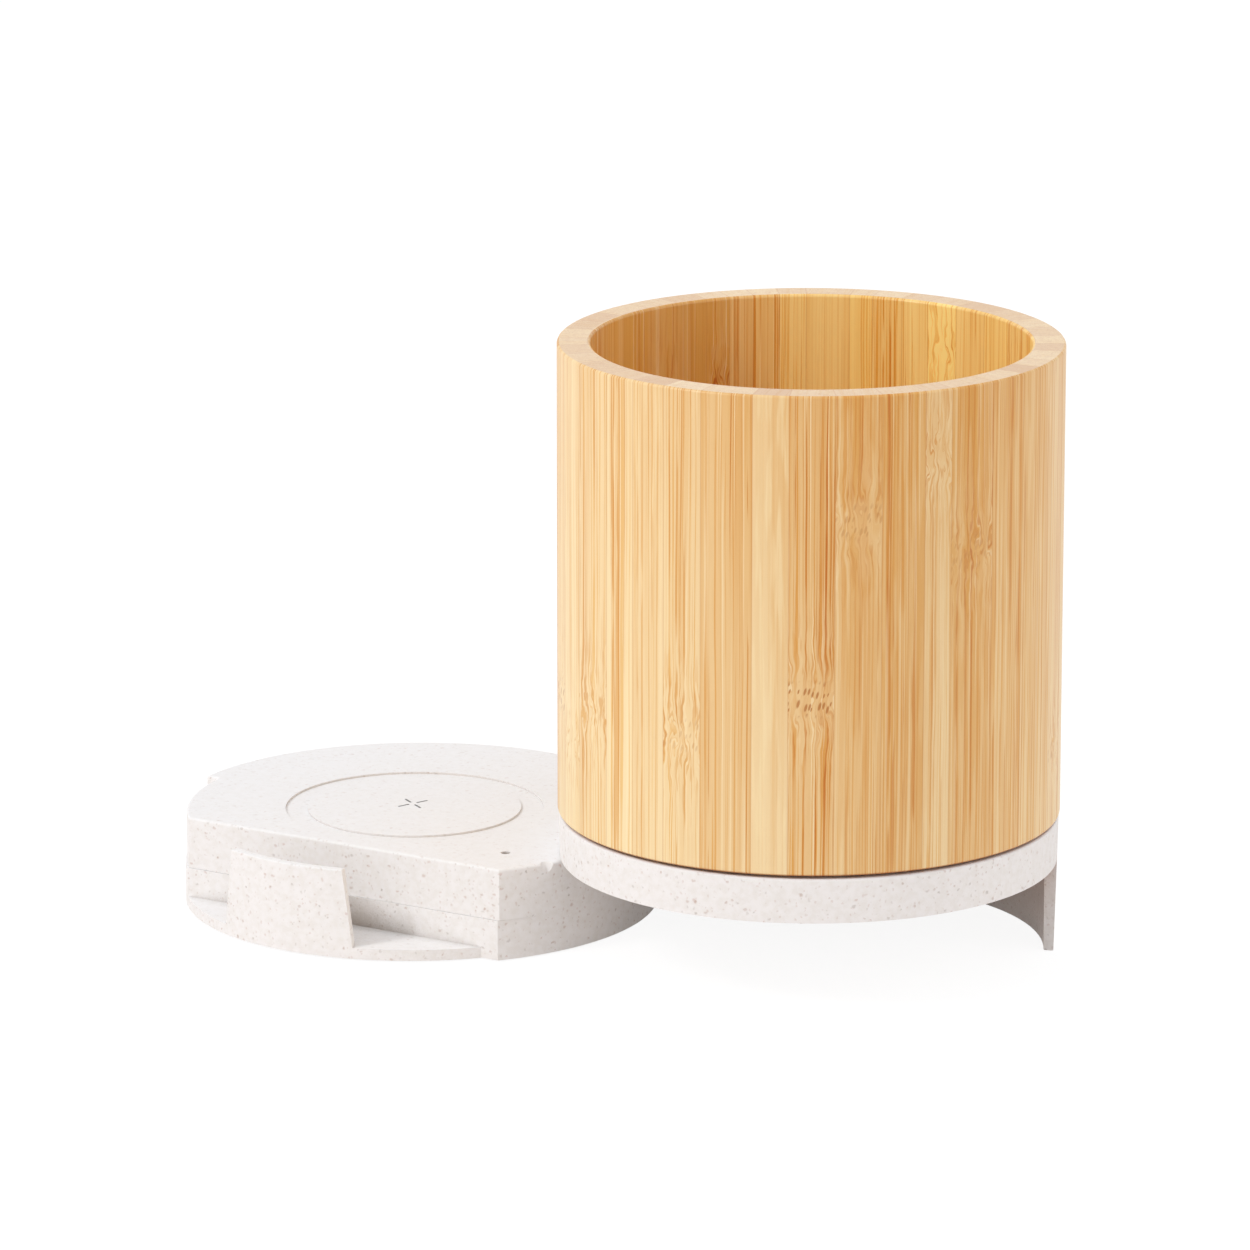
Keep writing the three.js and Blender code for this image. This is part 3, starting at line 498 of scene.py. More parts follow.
def vertsOf(items):
    return [item for item in items if isinstance(item, bmesh.types.BMVert)]


def roundOff(bm, geom, radius, segments, affect="EDGES"):
    bmesh.ops.bevel(bm, geom=geom, offset=radius, offset_type="OFFSET", segments=segments,
                    profile=0.5, affect=affect, material=-1, clamp_overlap=True)


def faceOut(bm):
    bmesh.ops.recalc_face_normals(bm, faces=bm.faces)


def openMesh(corners):
    # a flat outline in the XZ plane as one face; a corner's third value rounds it
    bm = bmesh.new()
    verts = [bm.verts.new((reach, 0, height)) for reach, height, _ in corners]
    bm.faces.new(verts)
    for vert, (_, _, radius) in zip(verts, corners):
        if radius:
            roundOff(bm, [vert], radius, facets["corner"], "VERTICES")
    bmesh.ops.delete(bm, geom=bm.faces[:], context="FACES_ONLY")
    axisEdges = [edge for edge in bm.edges if all(abs(v.co.x) < 1e-6 for v in edge.verts)]
    bmesh.ops.delete(bm, geom=axisEdges, context="EDGES")
    return bm


def turned(corners, steps):
    bm = openMesh(corners)
    bmesh.ops.spin(bm, geom=bm.verts[:] + bm.edges[:], axis=(0, 0, 1), angle=math.tau,
                   steps=steps, use_merge=True)
    bmesh.ops.remove_doubles(bm, verts=bm.verts, dist=1e-4)
    for pole in [vert for vert in bm.verts if math.hypot(vert.co.x, vert.co.y) < 1e-4]:
        bmesh.ops.dissolve_faces(bm, faces=pole.link_faces[:])
    return bm


def rod(radius, low, high, steps, place=(0, 0)):
    bm = bmesh.new()
    bmesh.ops.create_cone(bm, cap_ends=True, segments=steps, radius1=radius, radius2=radius,
                          depth=high - low)
    # turned by its own radius, so that two rods on one axis never share an edge's place
    bmesh.ops.rotate(bm, matrix=Matrix.Rotation(radius, 3, "Z"), verts=bm.verts)
    bmesh.ops.translate(bm, vec=(*place, (low + high) / 2), verts=bm.verts)
    return bm


def block(low, high):
    bm = bmesh.new()
    bmesh.ops.create_cube(bm, size=1)
    spans = [far - near for near, far in zip(low, high)]
    middle = [(far + near) / 2 for near, far in zip(low, high)]
    bmesh.ops.scale(bm, vec=spans, verts=bm.verts)
    bmesh.ops.translate(bm, vec=middle, verts=bm.verts)
    return bm


def addObject(name, data):
    made = bpy.data.objects.new(name, data)
    bpy.context.scene.collection.objects.link(made)
    return made


def bodyFrom(bm, name="body"):
    faceOut(bm)
    mesh = bpy.data.meshes.new(name)
    bm.to_mesh(mesh)
    bm.free()
    return addObject(name, mesh)


def combine(body, bm, operation):
    other = bodyFrom(bm, "other")
    working = body.modifiers.new(operation, "BOOLEAN")
    working.operation = operation
    working.solver = "EXACT"
    working.object = other
    graph = bpy.context.evaluated_depsgraph_get()
    joined = bpy.data.meshes.new_from_object(body.evaluated_get(graph))
    body.modifiers.clear()
    body.data = joined
    bpy.data.objects.remove(other)


def cut(body, bm):
    combine(body, bm, "DIFFERENCE")


def join(body, bm):
    combine(body, bm, "UNION")


def finishPiece(body, name, look, rides, replaced, edge=0.0, place=None):
    body.name = name
    body.data.name = name
    if place is not None:
        body.data.transform(place)
    body.data.transform(Matrix.Scale(millimetre, 4))
    body.data.materials.clear()
    body.data.materials.append(finishes[look])
    body.data.shade_smooth()
    if edge:
        soften = body.modifiers.new("edges", "BEVEL")
        soften.width = edge * millimetre
        soften.segments = 2
        soften.limit_method = "ANGLE"
        soften.angle_limit = math.radians(35)
        soften.miter_outer = "MITER_ARC"
    even = body.modifiers.new("normals", "WEIGHTED_NORMAL")
    even.keep_sharp = True
    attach(body, rides)
    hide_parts(*replaced)
    print(name, "made,", len(body.data.polygons), "faces")


# The charger's outline, shared by its tray and cover

chargerShape = {
    "radius": 44.75, "recess": 42.1,  # and the radius where its side steps in
    "slotFace": 27.8, "stepFace": 2.1, "wall": 2.0,
    # facets along the round side, the recess, the slot's floor and the tab
    "steps": 150, "recessSteps": 28, "slotSteps": 24, "tabSteps": 30,
}


def arcFrom(bm, vert, angle, steps):
    swept = bmesh.ops.spin(bm, geom=[vert], axis=(0, 0, 1), angle=angle, steps=steps)
    return vertsOf(swept["geom_last"])[0]


def lineTo(bm, vert, x, y):
    last = bmesh.ops.extrude_vert_indiv(bm, verts=[vert])["verts"][0]
    last.co = (x, y, vert.co.z)
    return last


def chargerOutline(height, tab=None):
    # one face at a height; with the angles of a tab's ends it takes in the slot's floor too
    shape = chargerShape
    outer, recess = shape["radius"], shape["recess"]
    frontOuter, frontRecess, stepOuter, stepRecess = [
        math.asin(shape[face] / reach) for face in ("slotFace", "stepFace")
        for reach in (outer, recess)]
    bm = bmesh.new()
    first = bm.verts.new((outer * math.cos(frontOuter), -shape["slotFace"], height))
    vert = arcFrom(bm, first, math.pi + stepOuter + frontOuter, shape["steps"])
    vert = lineTo(bm, vert, -recess * math.cos(stepRecess), -shape["stepFace"])
    leftCorner = arcFrom(bm, vert, frontRecess - stepRecess, shape["recessSteps"])
    marks = [leftCorner]
    if tab:
        near, far = tab
        marks.append(arcFrom(bm, leftCorner, near - math.pi - frontRecess, shape["slotSteps"]))
        marks.append(arcFrom(bm, marks[-1], far - near, shape["tabSteps"]))
        marks.append(arcFrom(bm, marks[-1], math.tau - frontRecess - far, shape["slotSteps"]))
    bm.edges.new((marks[-1], first))
    bmesh.ops.contextual_create(bm, geom=bm.edges[:])
    return bm, marks


def perimeterEdges(bm, height):
    return [edge for edge in bm.edges
            if all(abs(v.co.z - height) < 1e-4 for v in edge.verts)
            and any(abs(face.normal.z) < 0.5 for face in edge.link_faces)]


def extrudeUp(bm, faces, rise, fromSolid=False):
    raised = bmesh.ops.extrude_face_region(bm, geom=faces)
    bmesh.ops.translate(bm, vec=(0, 0, rise), verts=vertsOf(raised["geom"]))
    if fromSolid:
        bmesh.ops.delete(bm, geom=faces, context="FACES")
    return [item for item in raised["geom"] if isinstance(item, bmesh.types.BMFace)]


# Screw posts and the swivel's boss, shared by tray and cover
postShape = {
    "radius": 3.2, "bore": 1.6, "reach": 30, "angles": (42, 138, 222, 318),
    "boss": 5.0, "bossBore": 2.9,
    "inset": 0.06,  # how far its ends stay off the faces beside them
}
postPlaces = [polar(postShape["reach"], angle) for angle in postShape["angles"]]


def addPosts(body, low, high, boreLow, boreHigh):
    foot, head = low + postShape["inset"], high - postShape["inset"]
    for place in postPlaces:
        join(body, rod(postShape["radius"], foot, head, facets["screw"], place))
        cut(body, rod(postShape["bore"], boreLow, boreHigh, facets["screw"], place))
    join(body, rod(postShape["boss"], foot, head, facets["hole"], pivotPlace))


# Flat oval opening along Y that the inlet looks out of
inletShape = {"width": 9.7, "height": 4.0, "middle": 9.5, "inside": 38.0, "outside": 47.0}


def inletCutter():
    shape = inletShape
    bm = bmesh.new()
    radius = shape["height"] / 2
    bmesh.ops.create_circle(bm, cap_ends=True, radius=radius, segments=facets["hole"])
    half = shape["width"] / 2 - radius
    for vert in bm.verts:
        vert.co.x += math.copysign(half, vert.co.x)
    extrudeUp(bm, bm.faces[:], shape["outside"] - shape["inside"])
    place = Matrix.Translation((0, shape["outside"], shape["middle"]))
    bmesh.ops.transform(bm, matrix=place @ Matrix.Rotation(math.pi / 2, 4, "X"), verts=bm.verts)
    return bm


# Charger cover: charging face with its ring groove, lamp hole and the nick in its edge

coverShape = {
    "foot": 7.7, "top": 17.2, "plate": 2.2, "edge": 0.5, "softEdge": 0.04,
    "seamShift": (0.25, 0.2),  # how far the shell sits off the tray's outline, as in the image
    "grooveInner": 19.55, "grooveOuter": 23.68, "grooveDepth": 0.4, "grooveRound": 0.03,
    "lampRadius": 0.9, "lampDepth": 4, "lampReach": 35.2, "lampAngle": 330,
    "nickRadius": 1.55, "nickAngle": 334.2, "nickInset": 1.0, "nickDrop": 1.5,
    "boreGap": 0.05,  # between a post's bore and the plate
    # the coil's ring
    "fenceInner": 22.9, "fenceWall": 1.2, "fenceFoot": 11.4, "fenceSink": 0.2,
    "leadGap": 7.0, "fenceEdge": 0.1,
}


def nickCutter():
    shape = coverShape
    bm = bmesh.new()
    radius = shape["nickRadius"]
    bmesh.ops.create_cone(bm, cap_ends=True, segments=facets["screw"], radius1=radius,
                          radius2=radius, depth=radius * 5)
    slope = math.atan2(shape["nickDrop"], shape["nickInset"])
    turn = math.radians(shape["nickAngle"])
    rim = (*polar(chargerShape["radius"], shape["nickAngle"]), shape["top"] - shape["nickDrop"])
    place = (Matrix.Translation(rim) @ Matrix.Rotation(turn, 4, "Z") @ Matrix.Rotation(slope, 4, "Y")
             @ Matrix.Translation((0, 0, radius)) @ Matrix.Rotation(math.pi / 2, 4, "Y"))
    bmesh.ops.transform(bm, matrix=place, verts=bm.verts)
    return bm


def makeCover():
    shape = coverShape
    foot, top = shape["foot"], shape["top"]
    bm, _ = chargerOutline(foot)
    extrudeUp(bm, bm.faces[:], top - foot)
    faceOut(bm)
    roundOff(bm, perimeterEdges(bm, top), shape["edge"], facets["corner"])
    under = [face for face in bm.faces if face.normal.z < -0.5]
    bmesh.ops.inset_region(bm, faces=under, thickness=chargerShape["wall"], use_even_offset=True)
    plateUnder, above = top - shape["plate"], top + overrun
    extrudeUp(bm, under, plateUnder - foot, fromSolid=True)
    bmesh.ops.translate(bm, vec=(*shape["seamShift"], 0), verts=bm.verts)
    body = bodyFrom(bm)
    inner, outer, rounded = shape["grooveInner"], shape["grooveOuter"], shape["grooveRound"]
    floor = top - shape["grooveDepth"]
    ring = [(inner, floor, rounded), (outer, floor, rounded), (outer, above, 0), (inner, above, 0)]
    cut(body, turned(ring, facets["groove"]))
    lampPlace = polar(shape["lampReach"], shape["lampAngle"])
    cut(body, rod(shape["lampRadius"], top - shape["lampDepth"], above, facets["hole"], lampPlace))
    cut(body, nickCutter())
    cut(body, inletCutter())
    addPosts(body, foot, top - overrun, foot - overrun, plateUnder - shape["boreGap"])
    cut(body, rod(postShape["bossBore"], 0, above, facets["hole"], pivotPlace))
    finishPiece(body, "chargerCover", "plastic", "charger", ["charger_cover"],
                shape["softEdge"])


def makeFence():
    # ring under the charging face that holds the coil, open where its leads pass
    shape = coverShape
    inner, outer = shape["fenceInner"], shape["fenceInner"] + shape["fenceWall"]
    low, high = shape["fenceFoot"], shape["top"] - shape["plate"] + shape["fenceSink"]
    ring = [(inner, low, 0), (outer, low, 0), (outer, high, 0), (inner, high, 0)]
    body = bodyFrom(turned(ring, facets["fence"]))
    half = shape["leadGap"] / 2
    cut(body, block((-half, inner - overrun, low - overrun),
                    (half, outer + overrun, high + overrun)))
    finishPiece(body, "coilFence", "plastic", "charger", ["charger_cover"],
                shape["fenceEdge"])


makeCover()
makeFence()


# Charger tray: floor with its flange, low wall and the tab at the front of the slot

trayShape = {
    "under": 0.3, "floorTop": 2.3, "rim": 7.65, "edge": 0.35, "softEdge": 0.2,
    "tabTop": 16.7, "tabEdge": 0.3, "tabThickness": 1.7,
    # direction of the tab, and its half angles at foot and top
    "tabMiddle": 267.4, "tabFoot": 19.45, "tabHead": 16.9,
    "padRoom": 34.2, "padCeiling": 1.1, "headRoom": 2.7, "headCeiling": 3.2,
    "swivelHead": 4.2, "swivelCeiling": 4.2,
    # pegs that the board rests on, and how far posts and pegs stand in the floor
    "pegRadius": 1.6, "pegReach": 26, "pegAngles": (75, 165, 255, 345), "pegTop": 5.8,
    "sink": 0.5,
}


def makeTray():
    shape = trayShape
    under, floor = shape["under"], shape["floorTop"]
    foot, middle = math.radians(shape["tabFoot"]), math.radians(shape["tabMiddle"])
    bm, marks = chargerOutline(floor, (middle - foot, middle + foot))
    inner = chargerShape["recess"] - shape["tabThickness"]
    steps = chargerShape["tabSteps"]
    angles = [middle - foot + foot * 2 * step / steps for step in range(steps + 1)]
    inside = [(inner * math.cos(angle), inner * math.sin(angle), floor) for angle in angles]
    whole = bm.faces[:][0]
    bmesh.utils.face_split(whole, marks[1], marks[2], coords=inside)
    bm.faces.ensure_lookup_table()
    rest = max(bm.faces, key=lambda face: face.calc_area())
    bmesh.utils.face_split(rest, marks[0], marks[3])
    byArea = sorted(bm.faces, key=lambda face: face.calc_area())
    extrudeUp(bm, bm.faces[:], under - floor)
    faceOut(bm)
    tab, housing = byArea[0], byArea[-1]
    wallTop = bmesh.ops.inset_region(bm, faces=[housing], thickness=chargerShape["wall"],
                                     use_even_offset=True)["faces"]
    extrudeUp(bm, wallTop, shape["rim"] - floor, fromSolid=True)
    head = extrudeUp(bm, [tab], shape["tabTop"] - floor, fromSolid=True)
    narrow = shape["tabHead"] / shape["tabFoot"]
    for vert in {vert for face in head for vert in face.verts}:
        reach = math.hypot(vert.co.x, vert.co.y)
        angle = middle + (math.atan2(vert.co.y, vert.co.x) % math.tau - middle) * narrow
        vert.co.x, vert.co.y = reach * math.cos(angle), reach * math.sin(angle)
    faceOut(bm)
    roundOff(bm, perimeterEdges(bm, shape["tabTop"]), shape["tabEdge"], facets["tabEdge"])
    roundOff(bm, perimeterEdges(bm, under), shape["edge"], facets["trayEdge"])
    body = bodyFrom(bm)
    sunk, above = floor - shape["sink"], shape["rim"] + overrun
    addPosts(body, sunk, shape["rim"], under - overrun, above)
    for angle in shape["pegAngles"]:
        place = polar(shape["pegReach"], angle)
        join(body, rod(shape["pegRadius"], sunk, shape["pegTop"], facets["peg"], place))
    for radius, top in ((postShape["bossBore"], above), (shape["swivelHead"], shape["swivelCeiling"])):
        cut(body, rod(radius, -overrun, top, facets["hole"], pivotPlace))
    cut(body, rod(shape["padRoom"], -overrun, shape["padCeiling"], facets["pad"]))
    for place in postPlaces:
        cut(body, rod(shape["headRoom"], 0, shape["headCeiling"], facets["screw"], place))
    cut(body, inletCutter())
    finishPiece(body, "chargerTray", "plastic", "charger", ["charger_tray"],
                shape["softEdge"])


makeTray()


# Four short dashes in a loose cross, printed at the centre of the charging face

markShape = {"place": (-1.3, 1.4), "length": 2.5, "width": 0.4, "inner": 1.05, "thickness": 0.03,
             "angles": (69, 147, 249, 327)}


def makeMark():
    shape = markShape
    bm = bmesh.new()
    for angle in shape["angles"]:
        made = bmesh.ops.create_circle(bm, cap_ends=True, radius=shape["width"] / 2,
                                       segments=facets["dash"])["verts"]
        stretch = shape["length"] - shape["width"]
        for vert in made:
            vert.co.x += shape["inner"] + (stretch if vert.co.x > 0 else 0)
        turn = Matrix.Translation((*shape["place"], coverShape["top"])) @ Matrix.Rotation(
            math.radians(angle), 4, "Z")
        bmesh.ops.transform(bm, matrix=turn, verts=made)
    extrudeUp(bm, bm.faces[:], shape["thickness"])
    finishPiece(bodyFrom(bm), "centreMark", "mark", "charger", [])


makeMark()


# Swivelling base: a plate with a band round it and an apron below part of the band

baseShape = {
    "foot": 17.5, "bandTop": 25.6, "plateUnder": 23.4, "pedestalTop": 25.8, "pedestal": 42.5,
    "outerTop": 44.8, "outerFoot": 44.63, "inner": 42.4, "edge": 0.5, "softEdge": 0.12,
    "apronFoot": 44.2, "apronEdge": 0.25, "frontEnd": 28.1, "sideEnd": 10.4,
    "overlap": 0.03, "cutterMargin": 5,
    "ribs": 6, "ribFirst": 30, "ribFoot": 20.8, "ribThickness": 1.2, "ribStart": 9.0,
    "postRadius": 3.0, "postBore": 1.4, "postReach": 32.0, "postAngles": (60, 180, 300),
    "postFoot": 19.4, "underTop": 19.1,
    "cupScrewAngles": (90, 210, 330), "cupScrewReach": 21, "headRoom": 3.6, "shankRoom": 1.8,
    "pivotPockets": ((4.7, 18.45), (3.5, 23.25)),  # radius and ceiling: washer, insert
}


def apronCutter():
    # everything under the band, apart from where the apron stays
    shape = baseShape
    far = shape["outerTop"] + shape["cutterMargin"]
    bm = bmesh.new()
    side, front = -shape["sideEnd"], -shape["frontEnd"]
    corners = [(-far, side), (0, side), (0, front), (far, front), (far, far), (-far, far)]
    bm.faces.new([bm.verts.new((x, y, -overrun)) for x, y in corners])
    extrudeUp(bm, bm.faces[:], shape["foot"] + overrun + shape["overlap"])
    return bm


def makeBase():
    shape = baseShape
    under, above = shape["plateUnder"], shape["plateUnder"] + overrun
    body = bodyFrom(turned([
        (0, under, 0), (shape["inner"], under, 0), (shape["inner"], 0, shape["apronEdge"]),
        (shape["apronFoot"], 0, shape["apronEdge"]), (shape["outerFoot"], shape["foot"], 0),
        (shape["outerTop"], shape["bandTop"], shape["edge"]), (shape["pedestal"], shape["bandTop"], 0),
        (shape["pedestal"], shape["pedestalTop"], 0), (0, shape["pedestalTop"], 0),
    ], facets["base"]))
    cut(body, apronCutter())
    middle = (shape["inner"] + shape["outerFoot"]) / 2
    for rib in range(shape["ribs"]):
        bm = block((shape["ribStart"], -shape["ribThickness"] / 2, shape["ribFoot"]),
                   (middle, shape["ribThickness"] / 2, above))
        turn = math.radians(shape["ribFirst"] + 360 / shape["ribs"] * rib)
        bmesh.ops.rotate(bm, matrix=Matrix.Rotation(turn, 3, "Z"), verts=bm.verts)
        join(body, bm)
    for angle in shape["postAngles"]:
        place = polar(shape["postReach"], angle)
        join(body, rod(shape["postRadius"], shape["postFoot"], above, facets["screw"], place))
        cut(body, rod(shape["postBore"], 0, under, facets["screw"], place))
    for angle in shape["cupScrewAngles"]:
        place = polar(shape["cupScrewReach"], angle)
        for radius, low, high in ((shape["headRoom"], shape["underTop"], under),
                                  (shape["shankRoom"], shape["foot"], shape["pedestalTop"] + overrun)):
            cut(body, rod(radius, low, high, facets["screw"], place))
    bossFoot = shape["foot"] + shape["overlap"] * 2
    join(body, rod(postShape["boss"], bossFoot, above, facets["hole"], pivotPlace))
    for radius, ceiling in shape["pivotPockets"]:
        cut(body, rod(radius, 0, ceiling, facets["hole"], pivotPlace))
    finishPiece(body, "swivelBase", "basePlastic", "cup", ["swivel_base"],
                shape["softEdge"], openPlace)


makeBase()


# The bamboo cup: staves glued into a ring and turned. The front staves are listed from the
# image's left to its right as (degrees wide, tone, lines, height of the node or None, dashes).

cupShape = {
    "outer": 45.0, "inner": 39.05, "foot": 26.1, "rim": 111.7,
    "footRound": 0.6, "rimOuter": 0.5, "rimInner": 0.6,
    "facing": -60.5,  # direction from the cup's axis to the camera
    "firstFront": -74.2,  # left end of the first listed stave, from the facing direction
    # painted shade on the inner wall: where it turns deeper, and pale again; its tone where pale,
    # how much deeper it turns, and what it keeps of each stave's own tone about a middle one
    "innerShadeIn": (112, 150), "innerShadeOut": (192, 226),
    "innerTone": 0.12, "innerShadeRise": 0.75, "innerKeeps": 0.35, "innerMiddle": 0.4,
    "rimDepth": 0.2, "rimHalf": 2.6,  # how far down and to each side the end grain reaches
    "noKnot": -200, "stepDegrees": 1.3,
    "staveShift": 7.3, "insideShift": 100,  # keep two staves' and the two walls' patterns apart
    # staves that nothing in the image shows are drawn at random from these
    "seed": 11, "hiddenWidth": 9.6, "widthSpread": (0.75, 1.25), "knotShare": 0.55,
    "knotHeights": (32, 106), "hiddenTones": (0.05, 0.75), "hiddenLines": (0.3, 1.0),
}

frontStaves = [
    (10.1, 0.08, 0.35, 42.5, 0.0), (12.0, 0.24, 0.75, 50.8, 0.1), (8.9, 0.1, 0.7, None, 0.0),
    (8.8, 0.26, 0.45, None, 0.0), (9.5, 0.3, 0.8, 50.0, 0.3), (12.0, 0.57, 0.85, None, 0.0),
    (8.2, 0.4, 0.15, None, 0.0), (10.2, 0.62, 1.0, 58.0, 1.0), (10.5, 0.72, 0.6, 89.5, 0.4),
    (10.1, 0.9, 0.65, None, 0.0), (6.7, 0.45, 0.6, 100.0, 0.0), (11.8, 0.86, 0.65, 82.2, 0.3),
    (10.5, 0.66, 0.65, None, 0.0), (7.4, 0.58, 0.6, None, 0.0), (7.4, 0.5, 0.55, None, 0.0),
    (10.1, 0.4, 0.6, 40.0, 0.3),
]

# and on round the back, by what the inner wall shows
backStaves = [
    (8.0, 0.4, 0.6, None, 0.0), (9.0, 0.2, 0.5, 66.0, 0.7), (9.0, 0.5, 0.8, None, 0.0),
    (10.0, 0.6, 0.9, 99.0, 0.5), (11.5, 0.3, 0.8, None, 0.0), (10.6, 0.5, 0.7, None, 0.0),
    (9.3, -0.8, 0.6, 103.5, 0.0), (7.8, 0.4, 0.9, None, 0.0), (8.4, 0.5, 1.0, 47.0, 0.9),
    (6.2, 0.2, 0.8, None, 0.0), (11.6, 0.6, 0.25, None, 0.0), (7.1, 0.3, 0.8, None, 0.0),
    (7.1, 0.4, 1.0, 38.0, 0.4), (6.7, 0.3, 0.6, None, 0.0), (6.7, 0.7, 0.9, 92.0, 0.1),
]


def allStaves():
    shape = cupShape
    chance = random.Random(shape["seed"])
    staves = frontStaves + backStaves
    left = 360 - sum(stave[0] for stave in staves)
    count = round(left / shape["hiddenWidth"])
    widths = [chance.uniform(*shape["widthSpread"]) for _ in range(count)]
    share = left / sum(widths)
    for width in widths:
        knotted = chance.random() < shape["knotShare"]
        knot = chance.uniform(*shape["knotHeights"]) if knotted else None
        tone, lines = chance.uniform(*shape["hiddenTones"]), chance.uniform(*shape["hiddenLines"])
        staves.append((width * share, tone, lines, knot, chance.uniform(0, 1)))
    return staves


def innerTone(angle, tone):
    # painted shade: the inner wall is drawn deeper on the side that lies in its own shade
    shape = cupShape

    def ramp(low, high):
        share = min(max((math.degrees(angle) - low) / (high - low), 0), 1)
        return share * share * (3 - 2 * share)

    rise = shape["innerShadeRise"] * ramp(*shape["innerShadeIn"]) * (1 - ramp(*shape["innerShadeOut"]))
    return shape["innerTone"] + rise + shape["innerKeeps"] * (tone - shape["innerMiddle"])


def makeCup():
    shape = cupShape
    bm = openMesh([
        (shape["inner"], shape["foot"], 0), (shape["outer"], shape["foot"], shape["footRound"]),
        (shape["outer"], shape["rim"], shape["rimOuter"]),
        (shape["inner"], shape["rim"], shape["rimInner"]),
    ])
    begin = math.radians(shape["facing"] + shape["firstFront"])
    bmesh.ops.rotate(bm, matrix=Matrix.Rotation(begin, 3, "Z"), verts=bm.verts)
    names = ("tone", "lines", "knot", "dashed", "rim", "inside")
    layers = [bm.faces.layers.float.new(name) for name in names]
    grain = bm.loops.layers.float_vector.new("grain")
    seam = bm.loops.layers.float.new("seam")
    loop = bm.verts[:] + bm.edges[:]
    start = begin
    middle = (shape["outer"] + shape["inner"]) / 2
    for number, (width, tone, lines, knot, dashed) in enumerate(allStaves()):
        before = set(bm.faces)
        wide = math.radians(width)
        steps = max(3, round(width / shape["stepDegrees"]))
        swept = bmesh.ops.spin(bm, geom=loop, axis=(0, 0, 1), angle=wide, steps=steps)
        loop = swept["geom_last"]
        for face in set(bm.faces) - before:
            centre = face.calc_center_median()
            reach = math.hypot(centre.x, centre.y)
            high = centre.z > shape["rim"] - shape["rimDepth"]
            flat = high and abs(reach - middle) < shape["rimHalf"]
            inside = reach < middle
            wall = inside and not flat
            # on the inner wall the tone carries painted shade
            values = (innerTone(start, tone) if wall else tone, lines,
                      shape["noKnot"] if knot is None else knot, dashed, float(flat), float(wall))
            for layer, value in zip(layers, values):
                face[layer] = value
            pattern = number * shape["staveShift"] + (shape["insideShift"] if inside else 0)
            for corner in face.loops:
                x, y, z = corner.vert.co
                turn = (math.atan2(y, x) - start + math.pi) % math.tau - math.pi
                turn = min(max(turn, 0), wide)
                reach = math.hypot(x, y)
                corner[grain] = (turn * reach, reach if flat else z, pattern)
                corner[seam] = min(turn, wide - turn) * reach
        start += wide
    bmesh.ops.remove_doubles(bm, verts=bm.verts, dist=1e-3)
    body = bodyFrom(bm)
    place = Matrix.Translation((cupCentre.x, cupCentre.y, 0))
    finishPiece(body, "bambooCup", "bamboo", "cup", ["bamboo_cup"], 0.0, place)


makeCup()


# CAD pieces that keep their shape and get their finish here

nodeFinishes = {
    "plastic": ("base_underplate",),
    "bambooFloor": ("cup_floor",),
    "silicone": ("grip_pad",),
    "steel": ("shell_screw", "underplate_screw", "cup_screw", "pivot_screw", "spring_washer",
              "inlet_shell"),
    "brass": ("pivot_insert",),
    "acetal": ("thrust_washer",),
    "copper": ("charging_coil", "coil_lead"),
    "ferrite": ("ferrite_sheet", "power_inductor"),
    "board": ("circuit_board",),
    "chip": ("power_chip", "driver_chip", "inlet_insert"),
    "capacitor": ("capacitor",),
    "clear": ("status_lamp",),
    "milky": ("light_pipe",),
}

for nodeName, node in frame["nodes"].items():
    for look, starts in nodeFinishes.items():
        if nodeName.startswith(starts):
            node.data.materials.clear()
            node.data.materials.append(finishes[look])
print("carried pieces finished")


# Floor, light and camera

backdropLook = {
    "size": 6,  # metres
    "drop": 0.02,  # millimetres under the pad, so that the two don't share a plane
    "paper": (0.84, 0.79, 0.76, 1),  # what throws light up at the object
    "seen": (0.16, 0.157, 0.154, 1),  # what takes the object's shadow, under an even glow
    "glow": 0.9,
    "skyLow": (1, 0.985, 0.97, 1), "skyHigh": (0.97, 1.0, 1.06, 1), "skyLight": 0.78,
}


def showBackdrop(tree, lighting, shown, output):
    # lighting falls on the object; the camera, and metal and glass, see what is shown
    paths = addNode(tree, "LightPath").outputs
    rays = calc(tree, "ADD", paths["Is Camera Ray"], paths["Is Glossy Ray"])
    rays = calc(tree, "ADD", rays, paths["Is Transmission Ray"])
    chosen = addNode(tree, "MixShader", {0: calc(tree, "MINIMUM", rays, 1.0),
                                         1: lighting.outputs[0], 2: shown.outputs[0]})
    addNode(tree, output, {"Surface": chosen.outputs[0]})


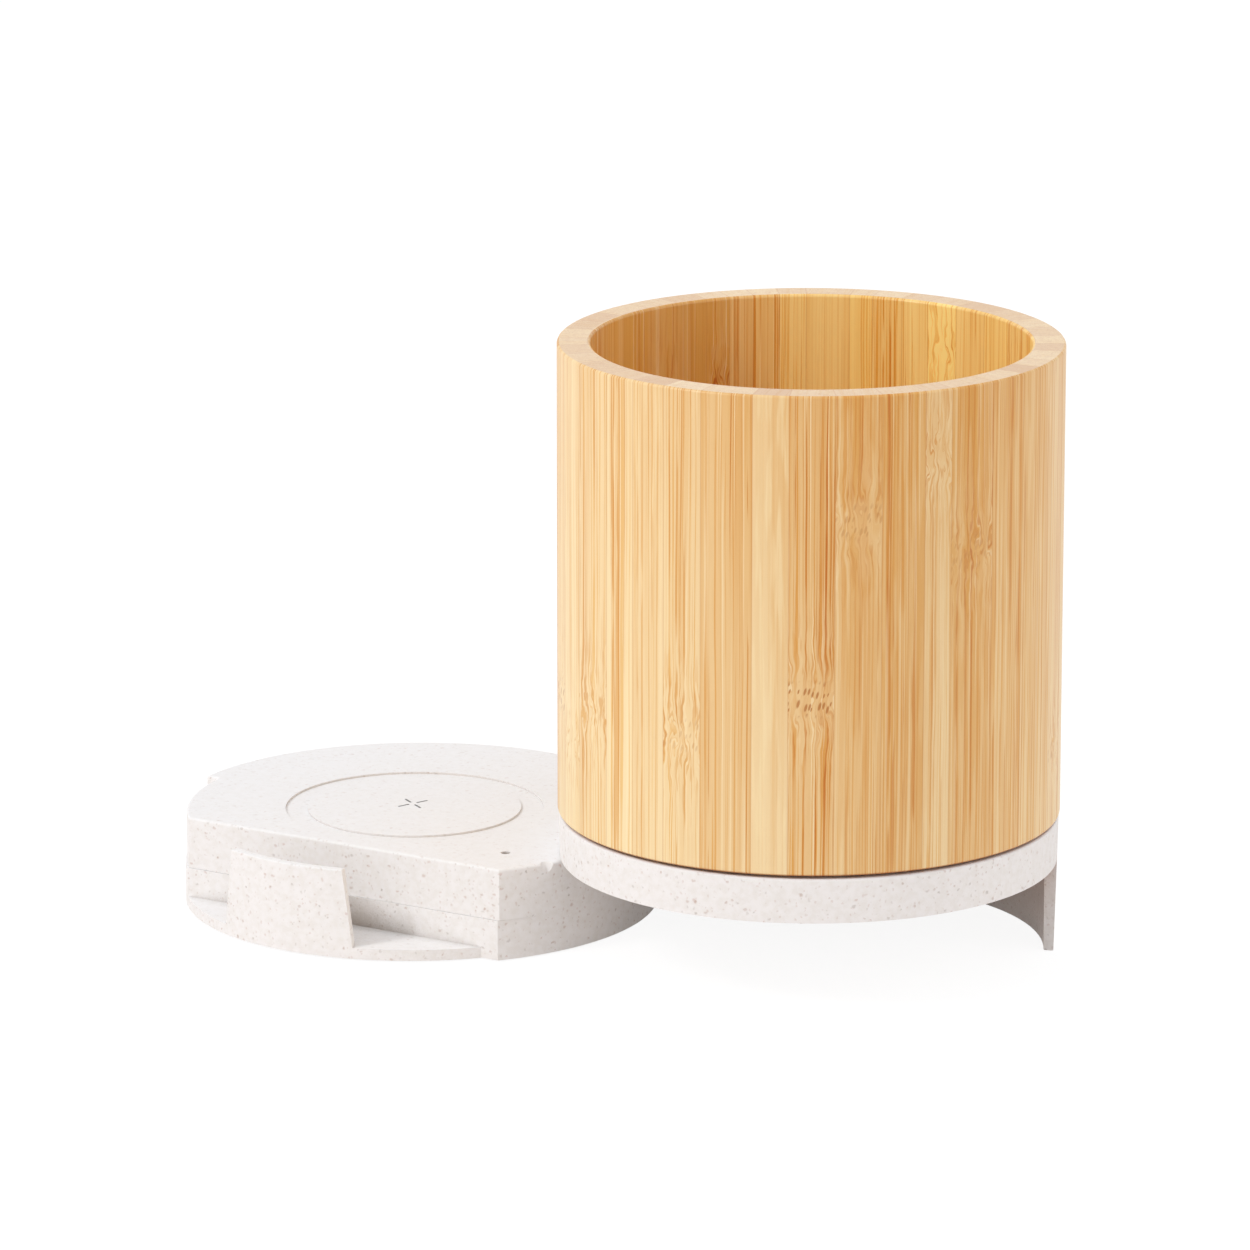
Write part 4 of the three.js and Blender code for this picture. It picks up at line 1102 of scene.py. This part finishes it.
def makeFloor():
    look = backdropLook
    bm = bmesh.new()
    bmesh.ops.create_grid(bm, x_segments=1, y_segments=1, size=look["size"])
    bmesh.ops.translate(bm, vec=(0, 0, -look["drop"] * millimetre), verts=bm.verts)
    floor = bodyFrom(bm, "floor")
    material = bpy.data.materials.new("floorPaper")
    material.use_nodes = True
    tree = material.node_tree
    tree.nodes.clear()
    paper = addNode(tree, "BsdfDiffuse", {"Color": look["paper"]})
    shadowed = addNode(tree, "BsdfDiffuse", {"Color": look["seen"]})
    glow = addNode(tree, "Emission", {"Color": (1, 1, 1, 1), "Strength": look["glow"]})
    both = addNode(tree, "AddShader", {0: shadowed.outputs[0], 1: glow.outputs[0]})
    showBackdrop(tree, paper, both, "OutputMaterial")
    floor.data.materials.append(material)


def makeWorld():
    look = backdropLook
    world = bpy.data.worlds.new("studio")
    bpy.context.scene.world = world
    world.use_nodes = True
    tree = world.node_tree
    tree.nodes.clear()
    place = axes(tree, addNode(tree, "TexCoord").outputs["Generated"])
    sky = blend(tree, fade(tree, place["Z"], 0.2, 0.9), look["skyLow"], look["skyHigh"])
    lit = addNode(tree, "Background", {"Color": sky, "Strength": look["skyLight"]})
    white = addNode(tree, "Background", {"Color": (1, 1, 1, 1), "Strength": 1.0})
    showBackdrop(tree, lit, white, "OutputWorld")


lampLooks = [
    {"name": "frontLamp", "at": (-0.453, -0.871, 0.866), "size": 0.24, "power": 5.2},
    {"name": "sideFill", "at": (1.194, 0.312, 0.517), "size": 0.8, "power": 1.85},
]
lampTarget = (0.03, 0, 0.03)


def makeLamps():
    for look in lampLooks:
        light = bpy.data.lights.new(look["name"], "AREA")
        light.shape = "SQUARE"
        light.size = look["size"]
        light.energy = look["power"]
        lamp = addObject(look["name"], light)
        lamp.location = look["at"]
        lamp.rotation_euler = (Vector(lampTarget) - lamp.location).to_track_quat("-Z", "Y").to_euler()


cameraLook = {"at": (0.75067, -1.18003, 0.41105), "turn": (1.3191, 0, 0.53897), "lens": 227.83,
              "sensor": 36}


def makeCamera():
    view = bpy.data.cameras.new("camera")
    view.lens = cameraLook["lens"]
    view.sensor_width = cameraLook["sensor"]
    camera = addObject("camera", view)
    camera.location = cameraLook["at"]
    camera.rotation_euler = cameraLook["turn"]
    bpy.context.scene.camera = camera


makeFloor()
makeWorld()
makeLamps()
makeCamera()
bpy.context.scene.view_settings.view_transform = "Standard"
print("stage set")
